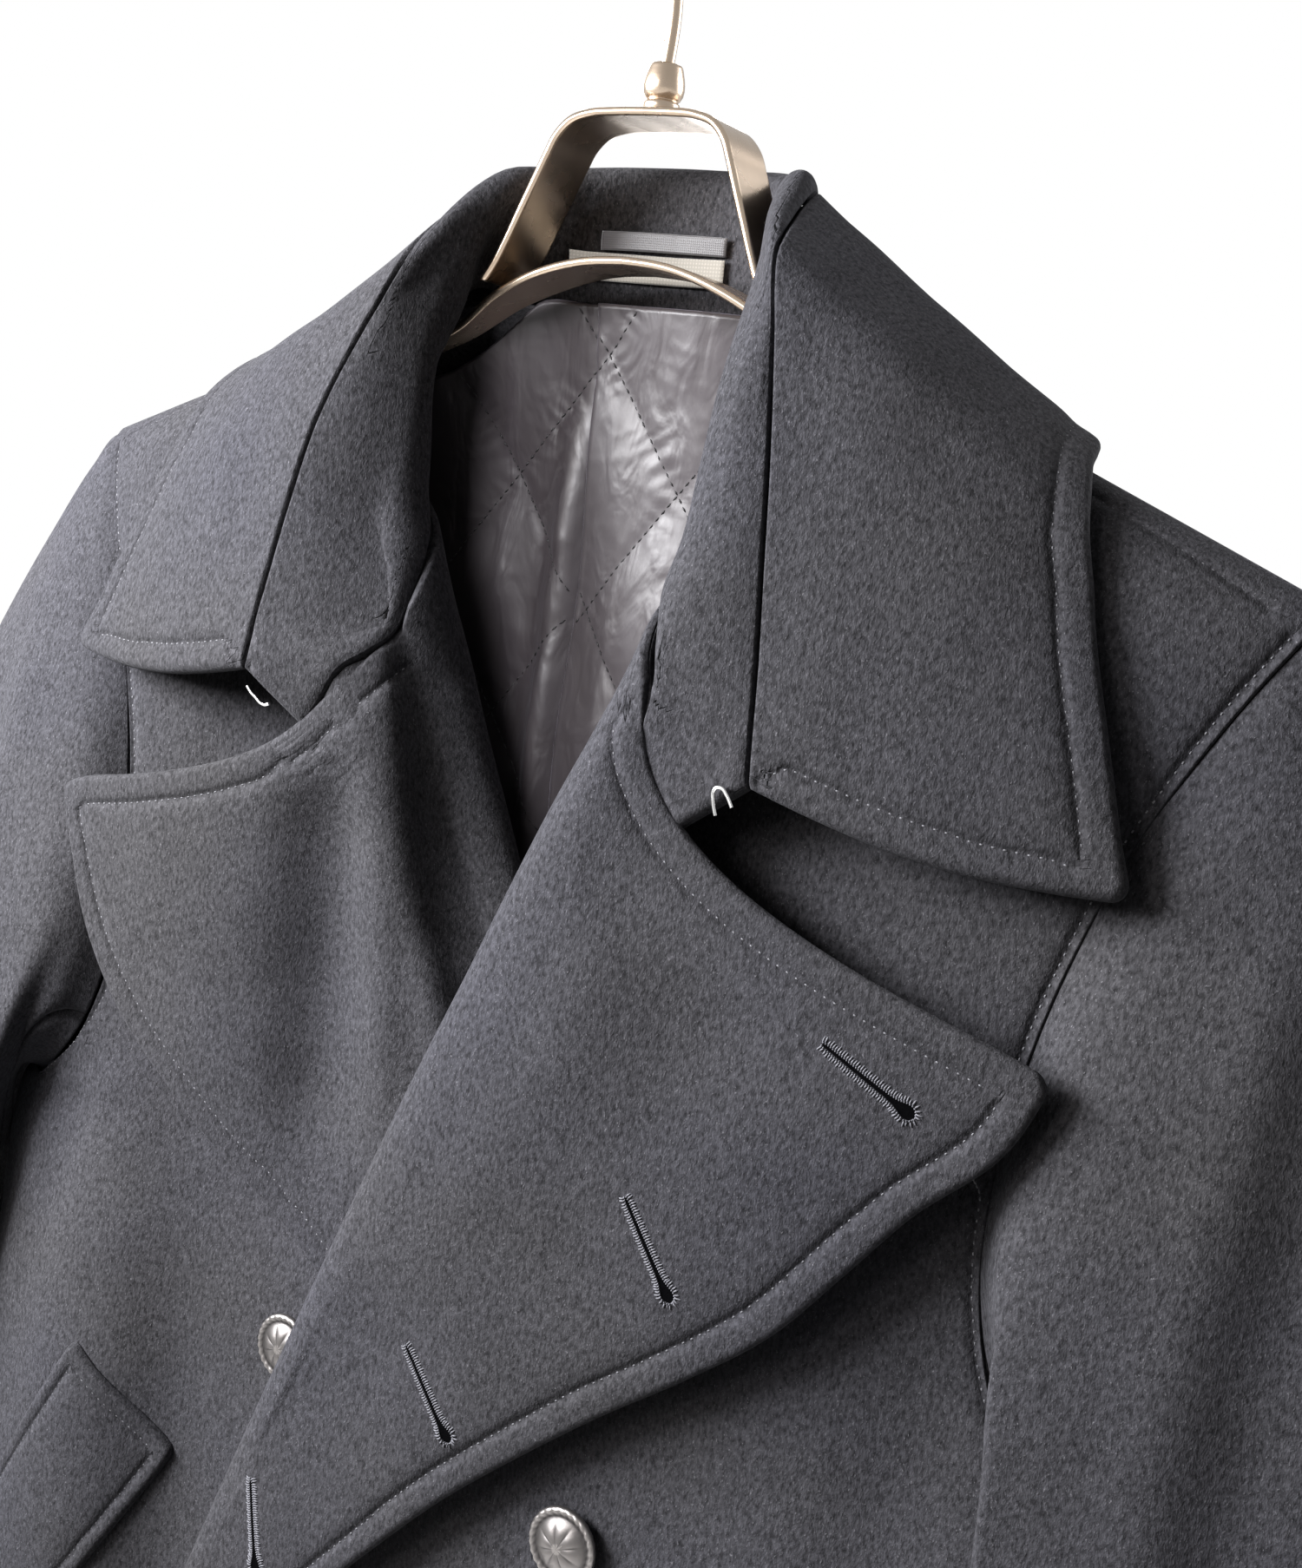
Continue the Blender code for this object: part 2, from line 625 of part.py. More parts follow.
def lining_grid(side):
    """Back lining of one side.  The left half laps over the right at the pleat."""
    inner = PLEAT_EDGE_X if side > 0 else -8.0
    x0 = 11.0 if side > 0 else 53.0
    z0 = -197.0
    grid = []
    raised = []
    for t in steps(LINING_ROWS):
        zc = lerp(-146.5, -862.0, t ** 1.15)
        za = lerp(-212.0, -862.0, t ** 1.08)
        xa = side_x(za) - 13.0
        if za > UNDERARM_Z:
            xa = min(column([(r[1], r[0]) for r in BACK_ARM], 1, za) - 9.0, xa)
        row = []
        lift = []
        for u in steps(LINING_COLS):
            x = lerp(xa, inner, u)
            z = lerp(za, zc, min(max((xa - abs(x)) / (xa - NECK_X), 0.0), 1.0))
            z = min(z, shoulder_z(x) - 12.0) if abs(x) > 38.0 else z
            y = section(x, z, 3)
            puff = PUFF * quilt(x, z, x0, z0) * (1.0 - smooth(-780.0, -850.0, z))
            if side > 0:
                y -= 4.5 * (1.0 - smooth(14.0, 40.0, x))
            else:
                puff *= smooth(22.0, 34.0, x)
            row.append((x, y, z))
            lift.append(puff)
        grid.append(row[::-1])
        raised.append(lift[::-1])
    return np.array(grid), np.array(raised)


# ---- collar -----------------------------------------------------------------
def stand_front(side, row):
    """One front section of the stand, from the fall's seam to the neck."""
    x, y, z, zr, met, end, zn = row
    seam = np.array([x, y, z])
    if end > 1.0:
        last = lapel_top(side, (end - 1.0) / 3.0)
        return [lerp(seam, last, f) for f in (0.0, 0.2, 0.4, 0.6, 0.8, 1.0)]
    front = roll_point(side, zr, met)
    if end > 0.5:
        mids = [roll_point(side, lerp(zr, zn, 0.5), lerp(1.0, end, f)) for f in (0.35, 0.7)]
    else:
        mids = [roll_point(side, lerp(zr, zn, 0.35), 0.55),
                roll_point(side, lerp(zr, zn, 0.7), 0.28 + 0.5 * end)]
    x = neck_x(side, zn)
    last = roll_point(side, zn, end) if end > 0.0 else np.array([x, front_y(x, zn, side), zn])
    return [seam, lerp(seam, front, 0.5) + np.array([0.0, -1.0, 0.0]), front] + mids + [last]


def stand_core():
    """The stand from the right front end round to the left one, seam to seam."""
    halves = []
    for side in (-1, 1):
        rows = []
        for row, edge in zip(list(STAND_BACK) + [stand_front(side, r) for r in STAND_FRONT], FALL_EDGE):
            pts = np.array(row, float)
            if side < 0:
                for n, share in enumerate((1.0, 0.85, 0.6, 0.2)):
                    pts[n] -= np.array([edge[3], 0.0, edge[4]]) * share
            rows.append(pts * [side, 1.0, 1.0])
        halves.append(rows)
    rows = halves[0][:0:-1] + halves[1]
    g = np.array([[at(row, u) for u in steps(7)] for row in rows])
    count = 2 * (len(g) - 1)
    return np.array([[at(g[:, i], k / count) for i in range(g.shape[1])] for k in range(count + 1)])


def stand_grid(core):
    g = core.copy()
    for row in g:
        row[0] += unit(row[1] - row[0]) * 0.5
        row[-1] += unit(row[-2] - row[-1]) * 1.8
    return g


def fall_grid(core):
    """The fall, hung from the same seam as the stand."""
    right = [(-r[0] - r[5], r[1], r[2] - r[6], r[7]) for r in FALL_EDGE]
    left = [(r[0], r[1], r[2], 0.0) for r in FALL_EDGE]
    edges = right[:0:-1] + left
    rows = []
    last = len(core) - 1
    for k in range(last + 1):
        t = abs(2.0 * k / last - 1.0)
        edge = at(edges, k / last)
        seam = core[k, 0]
        start = seam + unit(edge[:3] - seam) * 1.0
        row = []
        for u in steps(5):
            swell = np.array([0.0, -2.0, 1.5]) * smooth(0.3, 0.6, t)
            bow = np.array([0.0, 0.0, -6.5]) * smooth(0.8, 1.0, t) - np.array([0.0, 0.0, edge[3]])
            row.append(lerp(start, edge[:3], u) + (swell + bow) * math.sin(math.pi * u))
        rows.append(row)
    return np.array(rows)


def stand_inside(x, z):
    """Depth of the stand's core behind the neck."""
    xs = []
    ys = []
    for row in STAND_BACK:
        run = sorted([p[2], p[0], p[1]] for p in row[3:])
        xs.append(np.interp(z, [p[0] for p in run], [p[1] for p in run]))
        ys.append(np.interp(z, [p[0] for p in run], [p[2] for p in run]))
    return float(np.interp(abs(x), xs, ys))


def neck_strip(name, x0, x1, top, bottom, clear, bow, kind):
    """A flat strip across the inside of the stand."""
    rows = []
    for z in (bottom, top):
        row = []
        for u in steps(8):
            x = lerp(x0, x1, u)
            row.append((x, stand_inside(x, z) - clear - bow * math.sin(math.pi * u), z))
        rows.append(row)
    shell(name, np.array(rows), -0.45, 0.45, kind)


# ---- sleeves ----------------------------------------------------------------
SLEEVE_COLS = 24
CAP_ROWS = 7
FRONT_FOLD = 2.0 * math.pi * 7.0 / SLEEVE_COLS
UNDER_FROM = 9          # columns of the under sleeve, counted round the armhole
UNDER_TO = 16


def armhole_ring():
    """Points spaced evenly round the armhole from the shoulder, down the front."""
    foot = (side_x(UNDERARM_Z), SIDE_Y, UNDERARM_Z)
    front = [(r[0], section(r[0], r[1], 2), r[1]) for r in FRONT_TOP + FRONT_ARM]
    back = [(r[0], section(r[0], r[1], 3), r[1]) for r in BACK_ARM]
    loop = np.array(front + [foot] + back[::-1])
    loop[-1] = loop[0]
    run = np.concatenate([[0.0], np.cumsum(np.linalg.norm(np.diff(loop, axis=0), axis=1))])
    want = np.linspace(0.0, run[-1], SLEEVE_COLS, endpoint=False)
    return np.stack([np.interp(want, run, loop[:, k]) for k in range(3)], axis=1)


def sleeve_point(z, phi, side):
    """One point of the sleeve's section; its front fold laps over the body."""
    cx, cy, a, b = (column(SLEEVE, n, z) for n in (1, 2, 3, 4))
    reach = column(SLEEVE, 5 if side > 0 else 6, z)
    lap = column(SLEEVE, 7, z)
    x = round_x = cx + a * math.cos(phi)
    y = round_y = cy - b * math.sin(phi)
    if phi <= FRONT_FOLD:
        c = math.cos(phi / FRONT_FOLD * math.pi)
        x = (cx + a + reach) / 2.0 + (cx + a - reach) / 2.0 * c
        y = cy - b * math.sin(min(phi, math.pi / 2.0))
    elif phi <= math.pi:
        v = (phi - FRONT_FOLD) / (math.pi - FRONT_FOLD)
        x = lerp(reach, cx - a, v ** 0.8)
        y = front_y(min(x, side_x(z)), z, side) - lerp(14.0, 10.0, v)
    return np.array([lerp(round_x, x, lap), lerp(round_y, y, lap), z])


def sleeve_grid(side):
    """Core points of the whole sleeve: a set-in cap, then sections to the cuff."""
    ring = armhole_ring()
    down = np.array([28.0, 0.0, -165.0])
    top = SLEEVE[0][0]
    rows = [[] for _ in range(CAP_ROWS + 1)]
    for k in range(SLEEVE_COLS):
        phi = 2.0 * math.pi * k / SLEEVE_COLS
        c = math.cos(phi)
        s = math.sin(phi)
        near = 0.5 - 0.5 * c
        off = unit(np.array([1.0 - 0.85 * near ** 2, 0.0, near ** 2 - 0.38 * (1.0 - near)]))
        clear = 5.2 * smooth(0.6, 0.92, near)
        first = ring[k] + off * 1.9 - np.array([clear * c, (clear + 1.6) * s, 0.0])
        away = np.array([0.75 + 0.25 * c + 0.6 * near ** 2, -0.95 * s * (1.0 + 1.7 * near ** 2),
                         0.2 * near ** 2 - 0.4 * (1.0 + c)])
        last = sleeve_point(top, phi, side) + np.array([0.0, 0.0, 10.0 * c])
        m0 = away * 75.0 * (1.0 - 0.6 * near)
        m1 = down * (1.0 - 0.8 * near)
        for j, w in enumerate(steps(CAP_ROWS, 1.15)):
            h00 = 2 * w ** 3 - 3 * w ** 2 + 1
            h10 = w ** 3 - 2 * w ** 2 + w
            h01 = 3 * w ** 2 - 2 * w ** 3
            h11 = w ** 3 - w ** 2
            rows[j].append(h00 * first + h10 * m0 + h01 * last + h11 * m1)
    for z in [r[0] for r in SLEEVE[1:]]:
        row = []
        for k in range(SLEEVE_COLS):
            phi = 2.0 * math.pi * k / SLEEVE_COLS
            row.append(sleeve_point(z, phi, side) + np.array([0.0, 0.0, 4.0 * math.cos(phi)]))
        rows.append(row)
    return np.array(rows)


def sleeve_pieces(side, word):
    grid = sleeve_grid(side)
    wide = np.concatenate([grid, grid[:, :1]], axis=1)
    n = grid_normals(wide, full(wide))
    n[:, 0] += n[:, -1]
    n[:, 0] /= np.linalg.norm(n[:, 0], axis=1, keepdims=True)
    n[:, -1] = n[:, 0]
    cuts = (("sleeve_under_", [(UNDER_FROM, UNDER_TO + 1)]),
            ("sleeve_top_", [(UNDER_TO, SLEEVE_COLS), (0, UNDER_FROM + 1)]))
    for name, spans in cuts:
        piece = np.concatenate([wide[:, a:b] for a, b in spans], axis=1)
        piece_n = np.concatenate([n[:, a:b] for a, b in spans], axis=1)
        for row in piece:
            row[0] += unit(row[1] - row[0]) * 3.0 * SEAM_GAP
            row[-1] += unit(row[-2] - row[-1]) * 3.0 * SEAM_GAP
        shell(name + word, piece, -WOOL / 2, WOOL / 2, "wool", side, normals=piece_n)


# ---- what lies on the fronts ------------------------------------------------
def outer_face(grid, mask):
    """The outer face of a front's chest, for laying things on it."""
    chest = grid[:, :CHEST_COLS + 1]
    there = mask[:, :CHEST_COLS + 1]
    points = chest + grid_normals(chest, there) * (0.15 + WOOL)
    cols = chest.shape[1]
    tris = []
    for j, i in cells(chest, there):
        a, b, c, d = j * cols + i, (j + 1) * cols + i, (j + 1) * cols + i + 1, j * cols + i + 1
        tris += [(a, b, c), (a, c, d)]
    return BVHTree.FromPolygons([Vector(p) for p in points.reshape(-1, 3)], tris)


def on_face(face, x, z, out):
    """A point out mm off the face at x, z, and the face's normal there."""
    place, normal, _, _ = face.ray_cast(Vector((x, -200.0, z)), Vector((0.0, 1.0, 0.0)))
    normal = np.array(normal)
    if normal[1] > 0.0:
        normal = -normal
    return np.array(place) + normal * out, normal


def welt(side, word, face):
    down = unit(np.array([40.0, 0.0, -76.0]))
    across = unit(np.array([-41.0, 0.0, -32.0]))
    corner = np.array([151.0, 0.0, -521.0])
    rows = []
    for v in steps(9):
        row = []
        for u in steps(4):
            p = corner + down * WELT_L * v + across * WELT_W * u
            row.append(on_face(face, p[0], p[2], 1.4)[0])
        rows.append(row)
    shell("pocket_welt_" + word, np.array(rows), 0.0, 2.6, "wool", side)


# ---- build ------------------------------------------------------------------
for old in list(bpy.data.objects):
    bpy.data.objects.remove(old, do_unlink=True)
part = bpy.data.collections.new("pea_coat_on_hanger")
bpy.context.scene.collection.children.link(part)

for side, word in ((1, "left"), (-1, "right")):
    grid, mask = front_grid(side)
    shell("front_" + word, grid, 0.15, 0.15 + WOOL, "wool", side, mask)
    facing = grid[len(FRONT_TOP):, CHEST_COLS - FACING_COLS:]
    shell("facing_" + word, facing, -0.15 - WOOL, -0.15, "wool", side)
    shell("back_" + word, back_grid(), 0.15, 0.15 + WOOL, "wool", side)
    lining, raised = lining_grid(side)
    shell("lining_back_" + word, lining, -6.2, -4.6, "satin", side, None, raised)
    sleeve_pieces(side, word)
    face = outer_face(grid, mask)
    welt(side, word, face)
    for n, z in enumerate(BUTTON_ROWS, 1):
        seat, axis = on_face(face, BUTTON_X, z, 0.3)
        turned("button_" + word + "_" + str(n), mirror(seat, side), mirror(axis, side), BUTTON, 12, "pewter")

core = stand_core()
stand = stand_grid(core)
fall = fall_grid(core)
stand_n = grid_normals(stand, full(stand))
fall_n = grid_normals(fall, full(fall))
for a, b in zip(stand_n, fall_n):
    mitre = unit(a[0] - b[0])
    a[0] = mitre / max(np.dot(mitre, a[0]), 0.6)
    b[0] = -mitre / max(np.dot(-mitre, b[0]), 0.6)
shell("collar_stand", stand, -1.9, 1.9, "wool", normals=stand_n)
shell("collar_fall", fall, -1.9, 1.9, "wool", normals=fall_n)
neck_strip("neck_tape", -38.0, 17.0, -126.0, -134.5, 3.3, 0.0, "tape")
neck_strip("hanging_loop", -28.0, 17.0, -119.5, -125.2, 3.0, 2.5, "satin")
tube("collar_hook", COLLAR_HOOK, 0.55, "wire", 1)
tube("collar_eye", COLLAR_EYE, 0.55, "wire", 1)

half = np.array(HEAD)
head = np.concatenate([half[::-1], (half * [-1.0, 1.0])[1:]])
head_rows = [[(x, y, z) for x, z in head] for y in (-11.0, 11.0)]
shell("hanger_head", np.array(head_rows), -1.2, 1.2, "nickel")
tops = [at(ARC, u) for u in steps(14)]
tops = [(-x, z, d) for x, z, d in tops[:0:-1]] + [tuple(p) for p in tops]
arc_rows = [[(x, s * d / 2.0, z - 1.4) for x, z, d in tops] for s in (-1.0, 1.0)]
shell("hanger_shoulders", np.array(arc_rows), -1.3, 1.3, "nickel")
turned("hanger_ferrule", np.zeros(3), np.array([0.0, 0.0, 1.0]), FERRULE, 14, "nickel")
wire = [(x, 0.0, z) for x, z in HOOK_NECK]
for degrees in range(225, -31, -15):
    a = math.radians(degrees)
    wire.append((HOOK_R * math.cos(a), 0.0, HOOK_WIRE / 2.0 - HOOK_R + HOOK_R * math.sin(a)))
tube("hanger_hook", wire, HOOK_WIRE / 2.0, "nickel", 2)
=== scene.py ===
"""Double-breasted pea coat on a metal hanger, dressed with its sewing, lining and trim.

Laid out as an add-on: sizes and colours are scene properties, each group of like
pieces has its own operator, and the sidebar panel lists them in order.  Tables and
sizes are in millimetres, the properties in scene units.  The origin is where a rail
bears inside the top of the hook, +Z is up, the coat faces -Y and the wearer's left
is +X.
"""

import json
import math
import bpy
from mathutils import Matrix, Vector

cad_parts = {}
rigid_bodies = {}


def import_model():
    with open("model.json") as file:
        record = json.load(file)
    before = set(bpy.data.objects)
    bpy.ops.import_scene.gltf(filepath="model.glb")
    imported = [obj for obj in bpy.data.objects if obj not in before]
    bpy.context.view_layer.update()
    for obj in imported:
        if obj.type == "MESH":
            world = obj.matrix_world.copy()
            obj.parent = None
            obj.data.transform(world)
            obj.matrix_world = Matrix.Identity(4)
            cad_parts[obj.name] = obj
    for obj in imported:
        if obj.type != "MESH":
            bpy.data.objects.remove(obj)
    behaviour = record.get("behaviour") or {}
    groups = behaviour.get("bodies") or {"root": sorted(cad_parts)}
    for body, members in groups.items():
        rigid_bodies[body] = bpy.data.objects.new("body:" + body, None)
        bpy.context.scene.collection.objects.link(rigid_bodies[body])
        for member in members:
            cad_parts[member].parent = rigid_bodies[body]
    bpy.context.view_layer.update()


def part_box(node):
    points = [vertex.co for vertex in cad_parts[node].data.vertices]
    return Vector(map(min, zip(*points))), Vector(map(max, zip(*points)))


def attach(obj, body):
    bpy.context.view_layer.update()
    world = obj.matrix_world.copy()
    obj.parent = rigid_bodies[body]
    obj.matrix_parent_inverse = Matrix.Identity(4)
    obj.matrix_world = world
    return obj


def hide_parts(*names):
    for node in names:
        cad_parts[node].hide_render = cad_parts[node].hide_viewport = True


bl_info = {
    "name": "Pea Coat on a Hanger",
    "version": (1, 0, 0),
    "blender": (4, 5, 0),
    "location": "View3D > Sidebar > Pea Coat",
    "description": "Builds a wool melton pea coat on a metal hanger, with its sewing and quilted lining",
    "category": "Add Mesh",
}

import bmesh
import bpy
import numpy as np
from bpy.props import FloatProperty, FloatVectorProperty, PointerProperty
from bpy.types import Operator, Panel, PropertyGroup
from mathutils import Matrix, Vector
from mathutils.bvhtree import BVHTree
from mathutils.kdtree import KDTree

for old in list(bpy.data.objects):
    bpy.data.objects.remove(old, do_unlink=True)
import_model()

MM = 0.001

# ---- driving sizes, mm ------------------------------------------------------
WOOL = 2.2              # one ply of melton
SEAM_GAP = 0.3          # between two pieces at a seam
NECK_X = 62.0           # shoulder neck point, half width
NECK_Z = -146.0         # and its height
SHOULDER_SLOPE = 0.38   # fall of the shoulder seam per mm outward
SHOULDER_TURN = 60.0    # height over which the shoulder turns down
SIDE_Y = 4.0            # depth of the side seam
UNDERARM_Z = -450.0     # foot of the armhole
DIAMOND_W = 60.0        # quilting, side to side
DIAMOND_H = 80.0        # quilting, up and down
PUFF = 2.4              # height of the quilting
PLEAT_EDGE_X = -24.0    # folded edge of the lining's ease pleat
COLLAR_HALF = 1.9       # half the collar's thickness
LINING_BACK = -6.2      # faces of the lining, along its normals
LINING_FACE = -4.6
WELT_W = 52.0
WELT_L = 140.0
WELT_GAP = 0.25         # between a welt and the front it lies on
WELT_THICK = 3.2
STITCH_R = 0.26         # radius of the topstitching thread
QUILTING_R = 0.32       # and of the quilting thread
TOOTH_R = 0.25          # of a buttonhole's bars
PURL_R = 0.3            # and of the purl along its cut
WIRE_R = 0.55           # of the collar's hook and eye
SIDE_GAP = 5.1          # between the solids at the side seam, which the cloth closes
HOOK_R = 19.0           # centreline of the hanger's hook
HOOK_WIRE = 4.3
HEAD_DEPTH = 22.0       # of the hanger's head strip, front to back
HEAD_HALF = 1.2         # half its thickness
STRIP_HALF = 1.3        # and half that of the shoulder strip

# ---- tables, mm -------------------------------------------------------------
# body by height: half width, depth of the front's core, depth of the back's
# core, how square the section is
BODY = (
    (-140, 226, -25, 30, 3), (-205, 226, -28, 33, 3), (-300, 226, -31, 33, 3), (-400, 226, -37, 37, 3),
    (-450, 229, -41, 40, 3.6), (-510, 231, -44.5, 42, 4.8), (-700, 231, -50, 47, 4.5),
    (-880, 240, -52, 50, 4),
)
# how far the right front lies behind the left one, by height
SETBACK = (
    (-150, 0), (-205, 10), (-250, 17), (-325, 22), (-490, 23), (-600, 22), (-700, 20), (-880, 16),
)
# front panel above the roll, row by row: armhole x, z and neck z
FRONT_TOP = (
    (212, -203, -146), (210.5, -205.5, -148.5), (207, -212, -154), (201.5, -222, -163),
    (194.5, -236, -176), (187.5, -251, -190),
)
# the same panel from the top of the roll to the underarm: armhole x, z and the
# heights at which the row meets the back and the front of the roll
FRONT_ARM = (
    (181, -266, -205, -240), (175, -286, -224, -252), (169.5, -308, -246, -266),
    (165.5, -334, -272, -284), (164, -362, -302, -308), (166.5, -390, -334, -336),
    (177, -418, -368, -368), (198, -438, -402, -402),
)
# and down to the hem: height at the side seam and at the roll
FRONT_SIDE = (
    (-450, -438), (-486, -476), (-526, -518), (-568, -562), (-612, -606), (-656, -652), (-706, -704),
    (-762, -760), (-820, -820), (-880, -880),
)
# the roll of the left front by height: tip x, depth of its front, turn in
# degrees, then the lapel's free edge x, y, z
ROLL_LEFT = (
    (-122, 53, -25, 180, 179, -43, -322), (-136, 54, -32, 180, 179, -43, -322),
    (-163, 55, -40, 180, 179, -43, -322), (-185, 55.5, -45, 180, 179, -43, -322),
    (-203, 55.5, -50, 180, 179, -43, -322), (-224, 53, -53, 180, 179, -43, -322),
    (-240, 49, -55, 180, 179, -43, -322), (-252, 45.5, -56, 180, 172, -44, -341),
    (-266, 39.5, -57, 180, 150, -46, -367), (-284, 32, -57.5, 180, 136, -48, -387),
    (-308, 22.5, -58, 180, 120, -50, -409), (-336, 12, -58, 180, 98, -52, -430),
    (-373, -2.5, -58, 180, 71, -54, -453), (-428, -23, -58, 180, 33, -56, -489),
    (-500, -48, -58, 180, -12, -58.5, -542), (-560, -68, -58.5, 180, -47, -59.5, -590),
    (-606, -82, -59, 170, -70, -62.5, -624), (-652, -93, -61, 130, -94, -67, -662),
    (-704, -95, -63, 75, -113, -67, -708), (-760, -92, -64, 28, -120, -58, -761),
    (-820, -90, -65, 5, -122, -53, -820), (-880, -90, -66, 0, -122, -52.5, -880),
)
# the roll of the right front, in its own mirrored x
ROLL_RIGHT = (
    (-122, 53, -25, 180, 178, -43, -323), (-136, 54, -31, 180, 178, -43, -323),
    (-163, 55, -34, 180, 178, -43, -323), (-185, 54, -35.5, 180, 178, -43, -323),
    (-203, 52.5, -36.5, 180, 178, -43, -323), (-224, 46, -37, 180, 178, -43, -323),
    (-240, 40, -37, 180, 178, -43, -323), (-252, 35, -36.5, 180, 170, -43.5, -345),
    (-266, 29.5, -35, 180, 160, -43.5, -369), (-284, 21.5, -33, 180, 141, -43, -394),
    (-308, 10.5, -30.5, 180, 116, -41, -415), (-336, -3, -28.5, 180, 92, -37, -433),
    (-373, -20, -28, 180, 62, -33.5, -450), (-428, -45, -29, 180, 18, -31, -483),
    (-500, -77, -33, 180, -44, -33.5, -536), (-560, -96, -37, 150, -92, -39, -574),
    (-606, -99, -37, 80, -111, -37.5, -611), (-652, -96, -40, 25, -120, -31.5, -653),
    (-704, -92, -44, 0, -122, -30.2, -704), (-760, -91, -46, 0, -122, -32.2, -760),
    (-820, -90, -48, 0, -122, -34.2, -820), (-880, -90, -50, 0, -122, -36, -880),
)
# top edge of the lapel, from the roll by way of the gorge to the tip: x, y, z
LAPEL_TOP = (
    (56, -54, -262), (70, -52, -284), (104, -50, -301), (140, -47, -312), (168, -44, -319),
)
# back panel, row by row to the underarm: armhole x, z and the centre-back z
BACK_ARM = (
    (212, -203, -146), (210, -206, -148.5), (206, -213, -155), (199, -225, -166), (191, -241, -182),
    (184, -262, -205), (180, -290, -236), (178, -324, -275), (179, -358, -316), (182, -390, -356),
    (190, -416, -394), (205, -437, -424),
)
BACK_SIDE = (-450.0, -486.0, -526.0, -568.0, -612.0, -660.0, -730.0, -805.0, -880.0)
# collar stand by section: seam with the fall, front of the roll, its tip, its
# back, a point below, and the neck seam, each x, y, z
STAND_BACK = (
    ((0, 34, -106), (0, 32.5, -101.5), (0, 29.5, -100), (0, 26, -102.5), (0, 24, -121), (0, 25, -142.5)),
    ((28, 30, -107), (27.5, 28.5, -102.5), (27, 25.5, -101), (26.5, 22, -103.5), (32, 21.5, -121),
     (36, 24, -142.5)),
    ((46, 15, -109.5), (44.5, 14, -105.5), (42, 13, -104), (39.5, 12, -107), (48, 14, -123),
     (55, 17, -142.5)),
    ((55, -3, -111), (52.5, -3, -107), (49.5, -2.5, -106), (46.5, -2, -109.5), (54, -1, -125),
     (61, 0, -142.5)),
    ((58.5, -18, -120.5), (55.5, -17, -117), (52, -14.5, -116.8), (49.5, -11.5, -120), (54.5, -9.5, -133),
     (60, -10.5, -149.5)),
)
# the same in front, where it lies on the roll: seam x, y, z, roll height, how far
# round the roll it is met, end of the strip (0 back of the roll, 1 front, 2 gorge),
# neck seam height
STAND_FRONT = (
    (64, -33, -131, -124, 0.72, 0, -160), (69, -38, -148, -143, 0.8, 0, -176),
    (73, -41, -166, -163, 0.88, 0, -192), (78, -45, -189, -188, 0.95, 0.06, -203.5),
    (82, -48, -212, -211, 1, 0.52, -221), (85.5, -50, -234, -231, 1, 1, -238),
    (88, -51.8, -252, -244, 1, 1.5, -244), (90, -53, -268, -252, 1, 2, -252),
)
# outer edge of the fall at each section of the stand, x, y, z, and how the right
# side lies lower: its seam in and down, its edge out and down, its sag between
FALL_EDGE = (
    (0, 53, -211, 0, 0, 0, 0, 0), (58, 51, -208, 0, 0, 0, 0, 0), (112, 41, -194.5, 0, 0.5, 0, 1, 0.5),
    (143, 12, -171.5, 0, 3, 4, 2, 8.5), (150, -8, -174.5, 0.5, 3.5, 1, 2.8, 5),
    (156, -20, -191, 3.5, 8, 1, 2, 1.5), (161, -23.5, -206, 3, 7, 0, 1, 0),
    (166, -27, -221, 1.5, 3.5, 0, 0, 0), (171.5, -29, -236, 0, 1, 0, 0, 0),
    (177, -31, -251, 0, 0, 0, 0, 0), (181, -32.5, -262, 0, 0, 0, 0, 0), (184.5, -34, -270, 0, 0, 0, 0, 0),
    (187, -35, -277, 0, 0, 0, 0, 0),
)
# sleeve by height: centre x, centre y, half width, half depth, x of the front
# fold where it laps the body, left and right, and how much it laps, 0 to 1
SLEEVE = (
    (-476, 298, 0, 59, 48, 187, 210, 1), (-540, 298.5, -1, 59, 47, 194, 218, 0.9),
    (-610, 299, -4, 57, 46, 206, 228, 0.6), (-680, 301, -9, 54, 44, 222, 238, 0.25),
    (-745, 302, -15, 51, 42, 240, 246, 0), (-806, 303, -21, 49, 41, 250, 254, 0),
)
# head of the hanger, half of it from the top centre: x, z
HEAD = (
    (0, -90.5), (9, -90.6), (18, -91.2), (24.5, -93.3), (28.8, -97.5), (31.5, -103), (35, -111),
    (39, -120), (43, -129), (46.5, -136), (50, -141),
)
# shoulder strip of the hanger, half of it from the middle: x, z of its top,
# depth front to back
ARC = (
    (0, -131, 21), (16, -132.3, 21), (31, -136.4, 21), (46, -143.2, 17), (62, -154.2, 11.5),
    (100, -167.4, 18), (150, -185.6, 16), (200, -204.8, 11),
)
# hook from the ferrule to where its circle starts: x, z
HOOK_NECK = ((0.0, -74.7), (0.0, -57.0), (-0.7, -52.5), (-2.4, -47.6), (-5.4, -42.0), (-8.9, -36.5))
# half profiles about an axis: radius, height; the button from its shank up
BUTTON_FACE = (
    (0, 0), (3.2, 0), (3.2, 2), (6.8, 2.2), (10.4, 2.5), (11.1, 3.1), (11.25, 3.8), (11.1, 4.5),
    (10.7, 5), (10.1, 5.15), (9.5, 4.9), (8.9, 4.6), (8.3, 4.75), (7.6, 5.2), (6.8, 5.7), (5.8, 6.15),
    (4.8, 6.5), (3.8, 6.75), (2.8, 6.9), (1.8, 7), (0.9, 7.05), (0, 7.08),
)
FERRULE = (
    (0, -89), (4.9, -89), (5.25, -88.4), (5.25, -86), (4.7, -85.4), (5.25, -84.8), (5.25, -77),
    (4.6, -75.4), (2.6, -75), (0, -75),
)
